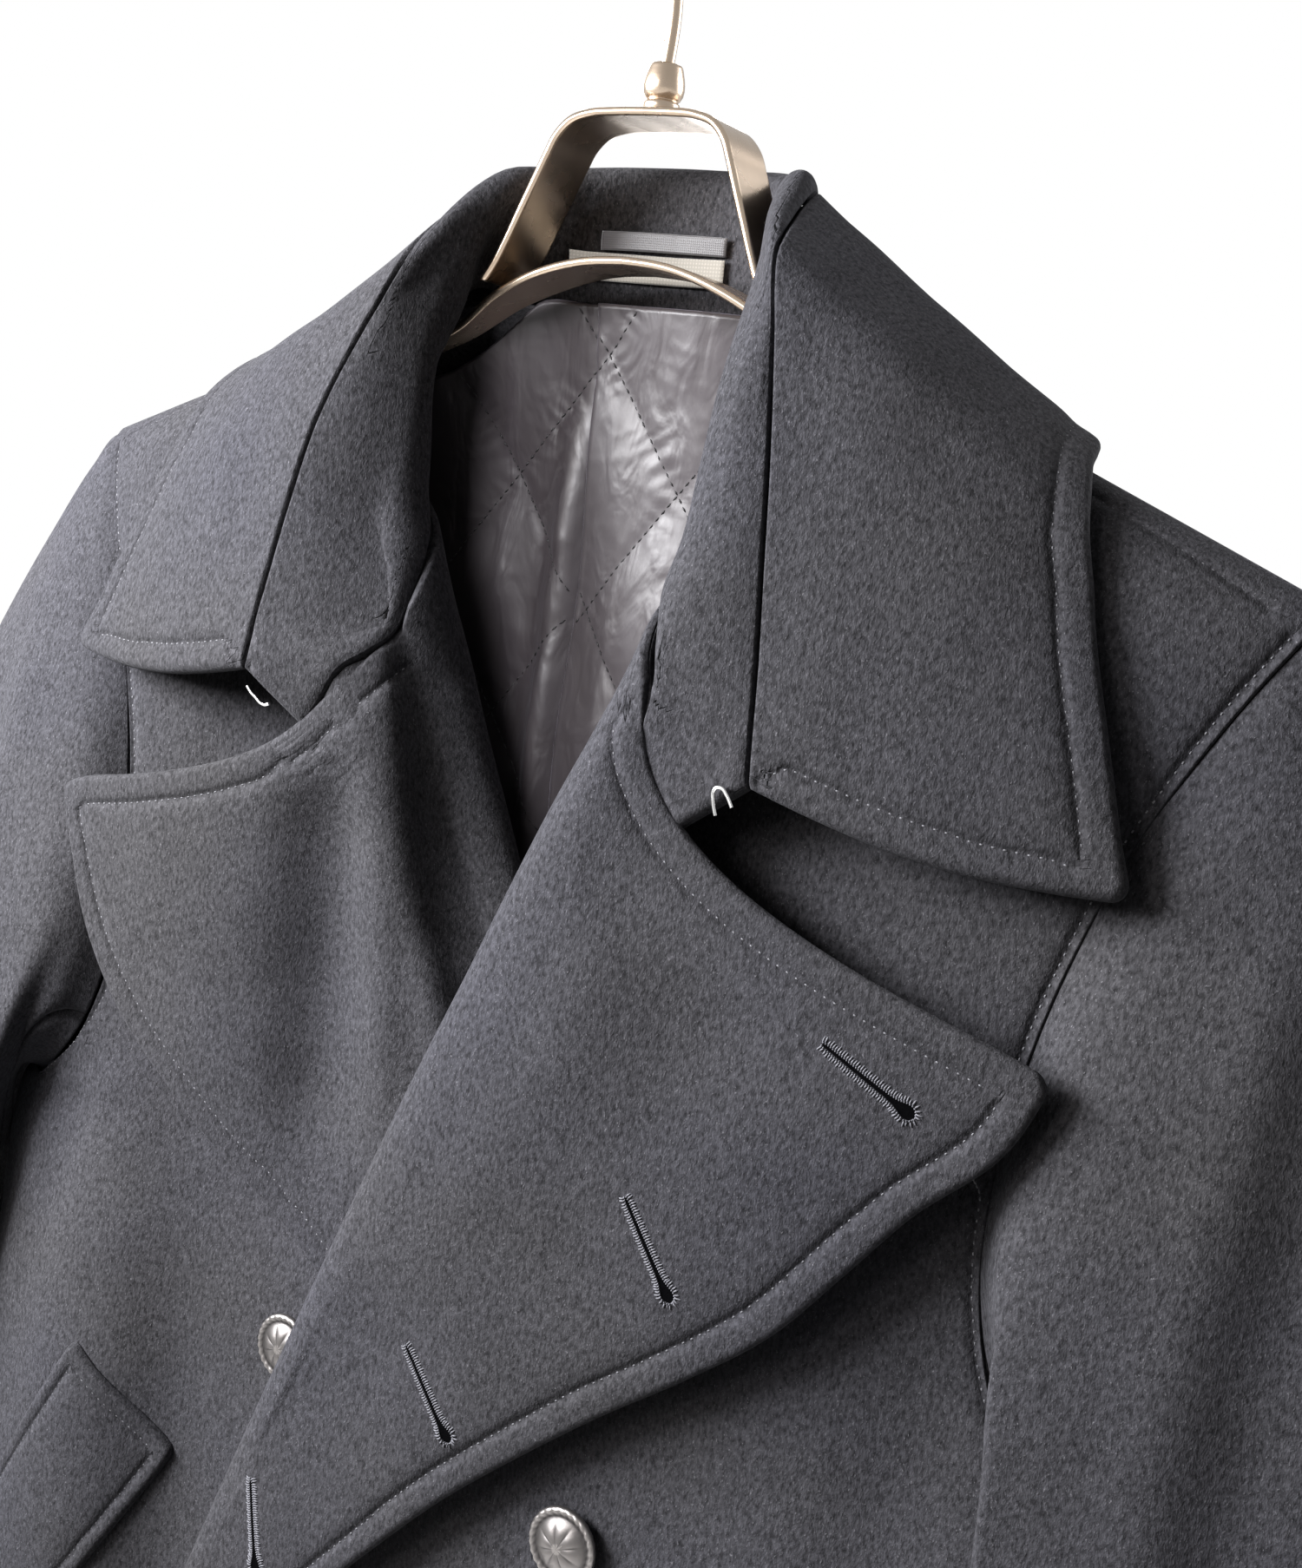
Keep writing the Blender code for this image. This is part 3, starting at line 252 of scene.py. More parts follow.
# wire hook at the left end of the collar and wire eye at the right: x, y, z
COLLAR_HOOK = (
    (83.6, -56.6, -276), (82.2, -56.4, -272.4), (81.7, -56.2, -270), (82.5, -56.2, -268.8),
    (84, -56.2, -268.7), (85.8, -56.3, -270.2), (87.9, -56.5, -273),
)
COLLAR_EYE = (
    (-90.8, -50, -273.6), (-88.8, -50, -275.4), (-86.8, -50, -276.5), (-84.7, -50, -277.8),
    (-82.8, -50, -278.1), (-81, -50, -277.4),
)
# ends of each keyhole, as x, z on the left lapel's face: bar, eyelet
KEYHOLES = (
    ((121.1, -327.4), (147.8, -339.8)), ((74.1, -383.6), (92.1, -408.4)), ((9.1, -452.2), (29, -475.5)),
    ((-43.3, -518.4), (-36, -548)),
)

# folds: bent line of x, z; half width; height out of the cloth's face
FOLDS_LAPEL_LEFT = (
    (((92, -300), (84, -345), (60, -395), (30, -440)), 22, -1.8),
    (((60, -300), (48, -340), (24, -390), (-8, -440)), 14, 1.2),
    (((20, -430), (-8, -480), (-40, -530)), 24, -1.4),
)
FOLDS_LAPEL_RIGHT = (
    (((64, -280), (59, -306), (57, -335), (57, -370), (56, -410), (48, -455)), 19, -8.5),
    (((49, -262), (44, -292), (41, -322), (38, -352), (34, -385), (26, -425)), 8, 4),
)
# the right lapel's roll: height, and the x (mirrored) from which it turns away inward
ROLL_TURNS = (
    (-470, -30), (-400, -4), (-356, 16), (-339, 24), (-319, 30), (-292, 35), (-267, 41), (-250, 48),
)
INWARD = np.array([0.51, 0.86, 0.0])    # the way it turns, x mirrored
FOLDS_FRONT_LEFT = (
    (((196, -300), (188, -370), (182, -470), (178, -600)), 20, 2.4),
    (((168, -360), (158, -450), (150, -560), (148, -700)), 18, -2.6),
    (((128, -450), (120, -560), (112, -700)), 22, 2), (((200, -520), (196, -640), (196, -800)), 16, -2.4),
    (((60, -600), (58, -720), (62, -860)), 24, -2),
)
FOLDS_FRONT_RIGHT = (
    (((168, -392), (176, -451), (182, -520), (184, -620)), 13, -2.8),
    (((140, -440), (146, -540), (150, -680)), 20, 2.2), (((110, -480), (112, -600), (108, -760)), 20, -2),
    (((196, -560), (198, -700), (204, -840)), 15, 2),
)
FOLDS_SLEEVE = (
    (((236, -262), (240, -330), (238, -420), (236, -520)), 11, -2.6),
    (((222, -250), (222, -320), (220, -400), (226, -500)), 10, 1.6),
    (((290, -300), (300, -420), (304, -560)), 16, -2.2),
    (((262, -560), (286, -590), (318, -600)), 9, 2.2), (((256, -600), (284, -628), (322, -634)), 8, -2),
    (((320, -520), (300, -560), (270, -640)), 12, 2), (((276, -700), (300, -716), (332, -712)), 9, 1.8),
)
FOLDS_BACK = (
    (((0, -190), (2, -300), (0, -520)), 16, -1.2),
    (((70, -230), (86, -380), (92, -600), (90, -840)), 26, 3),
    (((130, -260), (140, -420), (142, -640), (150, -850)), 22, -3.2),
    (((180, -330), (186, -480), (188, -700)), 18, 2.6), (((40, -520), (42, -680), (44, -860)), 20, -2.4),
)


# ---- small tools ------------------------------------------------------------
def column(table, key, value):
    """One column of a table at a height, by straight runs between its rows."""
    rows = sorted(table)
    return float(np.interp(value, [r[0] for r in rows], [r[key] for r in rows]))


def at(points, t):
    """A smooth curve through the given points at one parameter, 0 to 1."""
    pts = np.array(points, float)
    n = len(pts) - 1
    u = min(max(t, 0.0), 1.0) * n
    i = min(int(u), n - 1)
    f = u - i
    p1, p2 = pts[i], pts[i + 1]
    p0 = pts[i - 1] if i > 0 else 2.0 * p1 - p2
    p3 = pts[i + 2] if i + 2 <= n else 2.0 * p2 - p1
    return 0.5 * (2.0 * p1 + (p2 - p0) * f + (2.0 * p0 - 5.0 * p1 + 4.0 * p2 - p3) * f * f
                  + (3.0 * p1 - p0 - 3.0 * p2 + p3) * f ** 3)


def smooth(low, high, value):
    t = min(max((value - low) / (high - low), 0.0), 1.0)
    return t * t * (3.0 - 2.0 * t)


def unit(v):
    return v / max(np.linalg.norm(v), 1e-9)


def lerp(a, b, t):
    return a + (b - a) * t


def steps(count, power=1.0):
    return [(i / count) ** power for i in range(count + 1)]


# ---- the body's surfaces ----------------------------------------------------
FRONT, BACK = 2, 3      # columns of BODY


def side_x(z):
    """Half width of the body at a height."""
    return column(BODY, 1, z)


def shoulder_z(x):
    """Height of the shoulder line, squared off inside the neck."""
    ax = abs(x)
    if ax >= NECK_X:
        return NECK_Z - SHOULDER_SLOPE * (ax - NECK_X)
    return NECK_Z + 26.0 * (1.0 - (ax / NECK_X) ** 6)


def turn_down(x, z):
    """0 on the shoulder seam, 1 where the panel hangs straight."""
    t = min(max((shoulder_z(x) - z) / SHOULDER_TURN, 0.0), 1.0)
    return math.sqrt(max(1.0 - (1.0 - t) ** 2.4, 0.0))


def section(x, z, key):
    """Depth of the body's section at x, z; key is FRONT or BACK."""
    k = math.sqrt(max(1.0 - min(abs(x) / side_x(z), 1.0) ** column(BODY, 4, z), 0.0))
    flat = SIDE_Y + (column(BODY, key, z) - SIDE_Y) * k
    return flat * turn_down(x, z)


def front_y(x, z, side):
    """Core depth of a front at its own mirrored x."""
    y = section(x, z, FRONT)
    if side < 0:
        y += column(SETBACK, 1, z) * (1.0 - smooth(90.0, 180.0, x)) * turn_down(x, z)
    return y


# ---- the roll and the lapel -------------------------------------------------
def roll(side, z, key):
    return column(ROLL_LEFT if side > 0 else ROLL_RIGHT, key, z)


def roll_lean(side, z):
    """Tangent of the roll line's lean from upright."""
    return (roll(side, z + 14.0, 1) - roll(side, z - 14.0, 1)) / 28.0


def roll_back(side, z):
    """Where the chest meets the roll: x, and the roll's radius there."""
    x = roll(side, z, 1)
    r = 8.0
    for _ in range(4):
        r = max((front_y(x + 0.95 * r, z, side) - roll(side, z, 2)) / 2.0, 3.6)
    return x + 0.95 * r, r


def roll_point(side, z, f):
    """A point round the roll: f is 0 at its back and 1 at its front."""
    xb, r = roll_back(side, z)
    turn = math.radians(roll(side, z, 3))
    ease = 14.0 * (1.0 - turn / math.pi)
    lean = roll_lean(side, z)
    along = unit(np.array([lean, 0.0, 1.0]))
    out = unit(np.array([-1.0, 0.0, lean]))
    depth = np.array([0.0, 1.0, 0.0])
    q = f * (r * turn + ease)
    phi = min(q / r, turn)
    past = q - r * phi
    centre = np.array([xb, front_y(xb, z, side) - r, z])
    p = centre + r * (math.sin(phi) * out + math.cos(phi) * depth) - lean * r * phi * along
    return p + past * (math.cos(phi) * out - math.sin(phi) * depth - lean * along)


def neck_x(side, z):
    """The front's neck edge at a height."""
    return lerp(NECK_X, roll_back(side, z)[0], smooth(NECK_Z, NECK_Z - 20.0, z))


def lapel_edge(side, z):
    return np.array([roll(side, z, key) for key in (4, 5, 6)])


ROLL_TOP = FRONT_ARM[0][3]      # height at which the lapel leaves the roll


def lapel_top(side, u):
    """Top edge of the lapel, 0 at the roll and 1 at the tip."""
    pts = [tuple(roll_point(side, ROLL_TOP, 1.0))]
    for x, y, z in LAPEL_TOP:
        back = 8.0 * (1.0 - smooth(60.0, 150.0, x)) if side < 0 else 0.0
        pts.append((x, y + back, z))
    pts.append(tuple(lapel_edge(side, ROLL_TOP)))
    return at(pts, u)


def lapel_point(side, z, u):
    """A point of the lapel: z names its row on the roll, u runs to the edge."""
    a = roll_point(side, z, 1.0)
    b = lapel_edge(side, z)
    fade = 1.0 - smooth(ROLL_TOP, ROLL_TOP - 70.0, z) if z < ROLL_TOP else 1.0
    straight = lerp(roll_point(side, ROLL_TOP, 1.0), lapel_edge(side, ROLL_TOP), u)
    full = 3.0 if side > 0 else 1.0
    swell = full * math.sin(math.pi * u) * min(np.linalg.norm(b - a) / 120.0, 1.0)
    bulge = [0.0, -swell * (1.0 - fade), 0.0]
    return lerp(a, b, u) + (lapel_top(side, u) - straight) * fade + bulge


# ---- front, facing, back ----------------------------------------------------
CHEST_COLS = 9
ROLL_COLS = 5
LAPEL_COLS = 6
FACING_COLS = 2                 # columns of the chest that the facing reaches inside
SIDE_CROWD = 1.6                # crowds the columns of a front toward its side
BACK_CROWD = 1.35               # and those of a back
ARMHOLE_ROW = len(FRONT_TOP)    # first row of a front that has a roll and a lapel
ROLL_TO = CHEST_COLS + ROLL_COLS
LAST_COL = ROLL_TO + LAPEL_COLS


def front_grid(side):
    """Core points of a front from the shoulder down; rows above the roll end in copies."""
    rows = []
    below = tuple((side_x(z), z, zr, zr) for z, zr in FRONT_SIDE)
    for xa, za, zb, *zf in FRONT_TOP + FRONT_ARM + below:
        xb = roll_back(side, zb)[0] if zf else neck_x(side, zb)
        places = [(lerp(xa, xb, u), lerp(za, zb, u)) for u in steps(CHEST_COLS, SIDE_CROWD)]
        row = [(x, front_y(x, z, side), z) for x, z in places]
        if zf:
            row += [tuple(roll_point(side, lerp(zb, zf[0], f), f)) for f in steps(ROLL_COLS)[1:]]
            row += [tuple(lapel_point(side, zf[0], u)) for u in steps(LAPEL_COLS)[1:]]
        rows.append(row + [row[-1]] * (LAST_COL + 1 - len(row)))
    return np.array(rows)


def back_grid():
    """Core points of the left back, from its centre seam to its side."""
    rows = []
    for xa, za, zc in BACK_ARM + tuple((side_x(z), z, z) for z in BACK_SIDE):
        row = []
        for u in steps(CHEST_COLS, BACK_CROWD):
            x = lerp(xa - SEAM_GAP, SEAM_GAP / 2.0, u)
            z = lerp(za, zc, min((xa - x) / (xa - NECK_X), 1.0))
            row.append((x, section(x, z, BACK), z))
        rows.append(row[::-1])
    return np.array(rows)


# ---- lining -----------------------------------------------------------------
LINING_ROWS = 24
LINING_COLS = 11
LINING_TOP = (-146.5, -212.0)   # height of its top at the centre back and at the side
LINING_HEM = -862.0
PLEAT_UNDER_X = -8.0            # edge of the right half, under the pleat
PLEAT_LIFT = 4.5                # how far the left half stands off over it
QUILT_X = {1: 11.0, -1: 53.0}   # where two quilting rows cross, left and right
QUILT_Z = -197.0


def lining_grid(side):
    """Back lining of one side.  The left half laps over the right at the pleat."""
    inner = PLEAT_EDGE_X if side > 0 else PLEAT_UNDER_X
    rows = []
    for t in steps(LINING_ROWS):
        zc = lerp(LINING_TOP[0], LINING_HEM, t ** 1.15)
        za = lerp(LINING_TOP[1], LINING_HEM, t ** 1.08)
        xa = side_x(za) - 13.0
        if za > UNDERARM_Z:
            xa = min(column([(r[1], r[0]) for r in BACK_ARM], 1, za) - 9.0, xa)
        row = []
        for u in steps(LINING_COLS):
            x = lerp(xa, inner, u)
            z = lerp(za, zc, min(max((xa - abs(x)) / (xa - NECK_X), 0.0), 1.0))
            z = min(z, shoulder_z(x) - 12.0) if abs(x) > 38.0 else z
            off = PLEAT_LIFT * (1.0 - smooth(14.0, 40.0, x)) if side > 0 else 0.0
            row.append((x, section(x, z, BACK) - off, z))
        rows.append(row[::-1])
    return np.array(rows)


# ---- collar -----------------------------------------------------------------
def stand_front(side, row):
    """One front section of the stand, from the fall's seam to the neck."""
    x, y, z, zr, met, end, zn = row
    seam = np.array([x, y, z])
    if end > 1.0:
        last = lapel_top(side, (end - 1.0) / 3.0)
        return [lerp(seam, last, f) for f in (0.0, 0.2, 0.4, 0.6, 0.8, 1.0)]
    front = roll_point(side, zr, met)
    if end > 0.5:
        mids = [roll_point(side, lerp(zr, zn, 0.5), lerp(1.0, end, f)) for f in (0.35, 0.7)]
    else:
        mids = [roll_point(side, lerp(zr, zn, 0.35), 0.55),
                roll_point(side, lerp(zr, zn, 0.7), 0.28 + 0.5 * end)]
    x = neck_x(side, zn)
    last = roll_point(side, zn, end) if end > 0.0 else np.array([x, front_y(x, zn, side), zn])
    return [seam, lerp(seam, front, 0.5) - [0.0, 1.0, 0.0], front] + mids + [last]


def stand_core():
    """The stand from the right front end round to the left one, seam to seam."""
    halves = []
    for side in (-1, 1):
        rows = []
        sections = list(STAND_BACK) + [stand_front(side, r) for r in STAND_FRONT]
        for row, edge in zip(sections, FALL_EDGE):
            pts = np.array(row, float)
            if side < 0:
                for n, share in enumerate((1.0, 0.85, 0.6, 0.2)):
                    pts[n] -= np.array([edge[3], 0.0, edge[4]]) * share
            rows.append(pts * [side, 1.0, 1.0])
        halves.append(rows)
    rows = halves[0][:0:-1] + halves[1]
    g = np.array([[at(row, u) for u in steps(7)] for row in rows])
    count = 2 * (len(g) - 1)
    return np.array([[at(g[:, i], k / count) for i in range(g.shape[1])] for k in range(count + 1)])


def stand_grid(core):
    g = core.copy()
    for row in g:
        row[0] += unit(row[1] - row[0]) * 0.5
        row[-1] += unit(row[-2] - row[-1]) * 1.8
    return g


def fall_grid(core):
    """The fall, hung from the same seam as the stand."""
    right = [(-r[0] - r[5], r[1], r[2] - r[6], r[7]) for r in FALL_EDGE]
    left = [(r[0], r[1], r[2], 0.0) for r in FALL_EDGE]
    edges = right[:0:-1] + left
    rows = []
    last = len(core) - 1
    for k in range(last + 1):
        t = abs(2.0 * k / last - 1.0)
        edge = at(edges, k / last)
        seam = core[k, 0]
        start = seam + unit(edge[:3] - seam) * 1.0
        row = []
        for u in steps(5):
            swell = np.array([0.0, -2.0, 1.5]) * smooth(0.3, 0.6, t)
            bow = np.array([0.0, 0.0, -6.5]) * smooth(0.8, 1.0, t) - np.array([0.0, 0.0, edge[3]])
            row.append(lerp(start, edge[:3], u) + (swell + bow) * math.sin(math.pi * u))
        rows.append(row)
    return np.array(rows)


def stand_inside(x, z):
    """Depth of the stand's core behind the neck."""
    xs = []
    ys = []
    for row in STAND_BACK:
        heights, across, depths = zip(*sorted((p[2], p[0], p[1]) for p in row[3:]))
        xs.append(np.interp(z, heights, across))
        ys.append(np.interp(z, heights, depths))
    return float(np.interp(abs(x), xs, ys))


# ---- sleeves ----------------------------------------------------------------
SLEEVE_COLS = 24
CAP_ROWS = 7
FRONT_FOLD = 2.0 * math.pi * 7.0 / SLEEVE_COLS
UNDER_FROM = 9          # columns of the under sleeve, counted round the armhole
UNDER_TO = 16


def armhole_ring():
    """Points spaced evenly round the armhole from the shoulder, down the front."""
    foot = (side_x(UNDERARM_Z), SIDE_Y, UNDERARM_Z)
    front = [(r[0], section(r[0], r[1], FRONT), r[1]) for r in FRONT_TOP + FRONT_ARM]
    back = [(r[0], section(r[0], r[1], BACK), r[1]) for r in BACK_ARM]
    loop = np.array(front + [foot] + back[::-1])
    loop[-1] = loop[0]
    run = run_along(loop)
    return along_run(loop, run, np.linspace(0.0, run[-1], SLEEVE_COLS, endpoint=False))


def sleeve_point(z, phi, side):
    """One point of the sleeve's section; its front fold laps over the body."""
    cx, cy, a, b = (column(SLEEVE, n, z) for n in (1, 2, 3, 4))
    reach = column(SLEEVE, 5 if side > 0 else 6, z)
    lap = column(SLEEVE, 7, z)
    x = round_x = cx + a * math.cos(phi)
    y = round_y = cy - b * math.sin(phi)
    if phi <= FRONT_FOLD:
        c = math.cos(phi / FRONT_FOLD * math.pi)
        x = (cx + a + reach) / 2.0 + (cx + a - reach) / 2.0 * c
        y = cy - b * math.sin(min(phi, math.pi / 2.0))
    elif phi <= math.pi:
        v = (phi - FRONT_FOLD) / (math.pi - FRONT_FOLD)
        x = lerp(reach, cx - a, v ** 0.8)
        y = front_y(min(x, side_x(z)), z, side) - lerp(14.0, 10.0, v)
    return np.array([lerp(round_x, x, lap), lerp(round_y, y, lap), z])


def sleeve_grid(side):
    """Core points of the whole sleeve: a set-in cap, then sections to the cuff."""
    ring = armhole_ring()
    down = np.array([28.0, 0.0, -165.0])
    top = SLEEVE[0][0]
    rows = [[] for _ in range(CAP_ROWS + 1)]
    for k in range(SLEEVE_COLS):
        phi = 2.0 * math.pi * k / SLEEVE_COLS
        c, s = math.cos(phi), math.sin(phi)
        near = 0.5 - 0.5 * c
        off = unit(np.array([1.0 - 0.85 * near ** 2, 0.0, near ** 2 - 0.38 * (1.0 - near)]))
        clear = 5.2 * smooth(0.6, 0.92, near)
        first = ring[k] + off * 1.9 - [clear * c, (clear + 1.6) * s, 0.0]
        away = np.array([0.75 + 0.25 * c + 0.6 * near ** 2, -0.95 * s * (1.0 + 1.7 * near ** 2),
                         0.2 * near ** 2 - 0.4 * (1.0 + c)])
        last = sleeve_point(top, phi, side) + [0.0, 0.0, 10.0 * c]
        m0 = away * 75.0 * (1.0 - 0.6 * near)
        m1 = down * (1.0 - 0.8 * near)
        for j, w in enumerate(steps(CAP_ROWS, 1.15)):
            h00 = 2 * w ** 3 - 3 * w ** 2 + 1
            h10 = w ** 3 - 2 * w ** 2 + w
            h01 = 3 * w ** 2 - 2 * w ** 3
            h11 = w ** 3 - w ** 2
            rows[j].append(h00 * first + h10 * m0 + h01 * last + h11 * m1)
    turns = [2.0 * math.pi * k / SLEEVE_COLS for k in range(SLEEVE_COLS)]
    for z, *_ in SLEEVE[1:]:
        rows.append([sleeve_point(z, phi, side) + [0.0, 0.0, 4.0 * math.cos(phi)] for phi in turns])
    return np.array(rows)


# ---- smooth surfaces --------------------------------------------------------
UPPER_ROWS = 30                 # rows of a smooth front above the roll
CHEST_POINTS = 56               # its columns over the chest and round the roll
ROLL_POINTS = 14
INSIDE_POINTS = 8               # columns of a smooth facing inside the chest and round the roll
TURN_POINTS = 20
LAPEL_FROM = INSIDE_POINTS + TURN_POINTS


def unit_rows(v):
    return v / np.maximum(np.linalg.norm(v, axis=-1, keepdims=True), 1e-9)


def within(value):
    return np.clip(value, 0.0, 1.0)


def run_along(points, axis=0, mask=None):
    """Distance from the start over a run of points, or down or across a grid of them."""
    step = np.linalg.norm(np.diff(points, axis=axis), axis=-1)
    if mask is not None:
        step = step * (mask[:, 1:] & mask[:, :-1] if axis else mask[1:] & mask[:-1])
    step = np.cumsum(step, axis=axis)
    return np.concatenate([np.zeros_like(step[:, :1] if axis else step[:1]), step], axis=axis)


def along_run(points, run, want):
    """The points of a run at the wanted distances."""
    return np.stack([np.interp(want, run, points[:, k]) for k in range(3)], -1)


def edge_runs(grid, mask=None):
    """Each point's distance over the cloth from the first and last column, top and bottom."""
    a, b = run_along(grid, 1, mask), run_along(grid, 0, mask)
    return a, a[:, -1:] - a, b, b[-1:] - b


def from_edge(grid, reach, mask=None):
    """0 at the border of a sheet, 1 from reach mm inside it."""
    return within(np.minimum.reduce(edge_runs(grid, mask)) / reach)


def spline(points, t):
    """Smooth curves through points along the first axis; t counts in points."""
    p = np.asarray(points, float)
    h = np.linalg.norm(np.diff(p, axis=0), axis=-1, keepdims=True) + 1e-6
    d = np.diff(p, axis=0) / h
    m = np.empty_like(p)
    m[0] = d[0]
    m[-1] = d[-1]
    if len(p) > 2:
        m[1:-1] = (h[:-1] * d[1:] + h[1:] * d[:-1]) / (h[:-1] + h[1:])
        m[0] = 1.5 * d[0] - 0.5 * m[1]
        m[-1] = 1.5 * d[-1] - 0.5 * m[-2]
    i = np.clip(np.asarray(t).astype(int), 0, len(p) - 2)
    f = (np.asarray(t) - i).reshape((-1,) + (1,) * (p.ndim - 1))
    a = f * f * (3.0 - 2.0 * f)
    return (p[i] * (1.0 - a) + p[i + 1] * a
            + h[i] * (m[i] * f * (1.0 - f) ** 2 - m[i + 1] * f * f * (1.0 - f)))


def even(points, count):
    """A smooth way through points, in this many places."""
    return spline(points, np.linspace(0.0, len(points) - 1, count))


def ticks(first, last, count, start=0.0, end=0.0):
    """Sample places from first to last, crowded toward either end by 0 to 1."""
    u = np.linspace(0.0, 1.0, count + 1)
    w = 1.0 - start * np.cos(math.pi * u / 2.0) ** 6 - end * np.sin(math.pi * u / 2.0) ** 6
    t = np.concatenate([[0.0], np.cumsum((w[1:] + w[:-1]) / 2.0)])
    return first + (last - first) * t / t[-1]


def refine(grid, rows, cols):
    """A coarse grid of points made smooth at the given rows and columns."""
    return np.swapaxes(spline(np.swapaxes(spline(grid, rows), 0, 1), cols), 0, 1)


def front_dense(side):
    """A front from the shoulder down, smooth, and which of its points exist."""
    coarse = front_grid(side)
    upper = ticks(0.0, ARMHOLE_ROW, UPPER_ROWS, start=0.85)[:-1]
    lower = ticks(ARMHOLE_ROW, len(coarse) - 1, 150, start=0.8, end=0.9)
    chest = ticks(0.0, CHEST_COLS, CHEST_POINTS, start=0.88)
    turn = np.concatenate([ticks(CHEST_COLS, ROLL_TO, ROLL_POINTS)[1:],
                           ticks(ROLL_TO, LAST_COL, 34, end=0.85)[1:]])
    top = refine(coarse[:ARMHOLE_ROW + 1, :CHEST_COLS + 1], upper, chest)
    low = refine(coarse[ARMHOLE_ROW:], lower - ARMHOLE_ROW, np.concatenate([chest, turn]))
    pad = np.repeat(top[:, -1:], len(turn), axis=1)
    grid = np.concatenate([np.concatenate([top, pad], axis=1), low])
    mask = np.ones(grid.shape[:2], bool)
    mask[:len(upper), len(chest):] = False
    return grid, mask


def facing_dense(side):
    """A facing: the strip inside the chest, round the roll and over the lapel."""
    coarse = front_grid(side)[ARMHOLE_ROW:]
    rows = ticks(0.0, len(coarse) - 1, 190, start=0.88, end=0.9)
    inside = ticks(CHEST_COLS - FACING_COLS, CHEST_COLS, INSIDE_POINTS, start=0.8)[:-1]
    cols = np.concatenate([inside, ticks(CHEST_COLS, ROLL_TO, TURN_POINTS)[:-1],
                           ticks(ROLL_TO, LAST_COL, 68, end=0.88)])
    grid = refine(coarse, rows, cols)
    crowded = grid[:64, 26:66]              # where the rows bunch up beside the gorge
    share = within((64.0 - np.arange(64)) / 44.0)[:, None, None]
    share = share * within((38.0 - np.arange(38)) / 24.0)[None, :, None]
    for _ in range(30):
        crowded[:, 1:-1] = lerp(crowded[:, 1:-1], (crowded[:, :-2] + crowded[:, 2:]) / 2.0, share)
    return grid


def round_corner(grid, bottom, last, radius):
    """Round one corner of a grid, in place: its bottom or top, its last or first column."""
    g = grid[::-1] if bottom else grid
    g = g[:, ::-1] if last else g
    a, b = run_along(g, 1), run_along(g, 0)
    way_a = unit_rows(g[:, np.minimum(np.arange(g.shape[1]) + 3, g.shape[1] - 1)] - g)
    way_b = unit_rows(g[np.minimum(np.arange(len(g)) + 3, len(g) - 1)] - g)
    layer = np.minimum(a, b)
    r = np.maximum(radius - layer, 1e-6)
    t = np.maximum(a, b) - layer
    phi = np.where(t < r, math.pi / 4.0 * (1.0 - t / r), 0.0)
    inward = r * (1.0 - np.cos(phi))
    along = np.where(t < r, r - r * np.sin(phi) - t, 0.0)
    by_a = np.where(a <= b, inward, along)[..., None]
    by_b = np.where(a <= b, along, inward)[..., None]
    g += (way_a * by_a + way_b * by_b) * (layer < radius)[..., None]


def meet_at_side(grid, edge, way):
    """Bring a panel's side seam up to its neighbour's, below the armhole, in place."""
    g = grid if edge == 0 else grid[:, ::-1]
    near = within(1.0 - run_along(g, 1) / 30.0) ** 2
    below = within((UNDERARM_Z - 2.0 - g[:, :1, 2]) / 14.0)
    g[..., 1] += way * SIDE_GAP / 2.0 * near * below


def ripple(points, length, seed):
    """A gentle irregular wave about -1 to 1, for cloth that has been handled."""
    total = np.zeros(points.shape[:-1])
    for k in range(5):
        a = seed * 1.7 + k * 2.399
        direction = np.array([math.cos(a), 0.45 * math.sin(2.1 * a), math.sin(a)])
        total += np.sin(points @ direction * (2.0 * math.pi / length) * (1.0 + 0.31 * k) + a * 3.1)
    return total / 2.6


def crease(points, line, width, height):
    """A soft ridge, or a trough where height is negative, along a bent line.

    line runs in the x, z plane of the panel as worn; it fades at both ends.
    """
    way = even(line, 40)
    best = np.full(points.shape[:-1], 1e9)
    along = np.zeros(points.shape[:-1])
    for n, q in enumerate(way):
        d = (points[..., 0] - q[0]) ** 2 + (points[..., 2] - q[1]) ** 2
        closer = d < best
        best = np.where(closer, d, best)
        along = np.where(closer, n / 39.0, along)
    fade = within(np.minimum(along, 1.0 - along) * 3.5)
    return height * np.exp(-best / width ** 2) * fade * fade * (3.0 - 2.0 * fade)


def hang(table, points, length=None, seed=0.0):
    """How far cloth stands off its core: its folds, and slow waves of a length."""
    size = bpy.context.scene.coat_sizes
    total = np.zeros(points.shape[:-1])
    for fold in table:
        total += crease(points, *fold)
    total = total * size.fold_depth
    return total + ripple(points, length, seed) * size.handled / MM if length else total


def sink_lapel(grid, share):
    """Bend the right lapel's core: its long fold, and its roll turned into the coat."""
    x, z = grid[..., 0], grid[..., 2]
    past = np.maximum(np.interp(z, *zip(*ROLL_TURNS)) + 3.0 - x, 0.0)
    hollow = 20.0 * (1.0 - np.exp(-past / 14.0))
    hollow *= within((-240.0 - z) / 22.0) * within((z + 470.0) / 50.0)
    return grid + ((hollow - hang(FOLDS_LAPEL_RIGHT, grid)) * share)[..., None] * INWARD


# ---- cloth ------------------------------------------------------------------
PANELS = {}             # name of a made panel: its object, visible face, normals and mask
FINISHES = {}           # materials already made
PLY_GAP = 0.15          # half the gap between the two plies of a lapel, mm
SEAM_FAR = 14.0         # distance past which a point counts as far from any sewn row, mm


def there(mask):
    """Which cells of a grid have all four points."""
    return mask[:-1, :-1] & mask[:-1, 1:] & mask[1:, :-1] & mask[1:, 1:]


def cell_cross(grid):
    """The cross product of each cell's diagonals: its normal, twice its area long."""
    return np.cross(grid[1:, 1:] - grid[:-1, :-1], grid[1:, :-1] - grid[:-1, 1:])


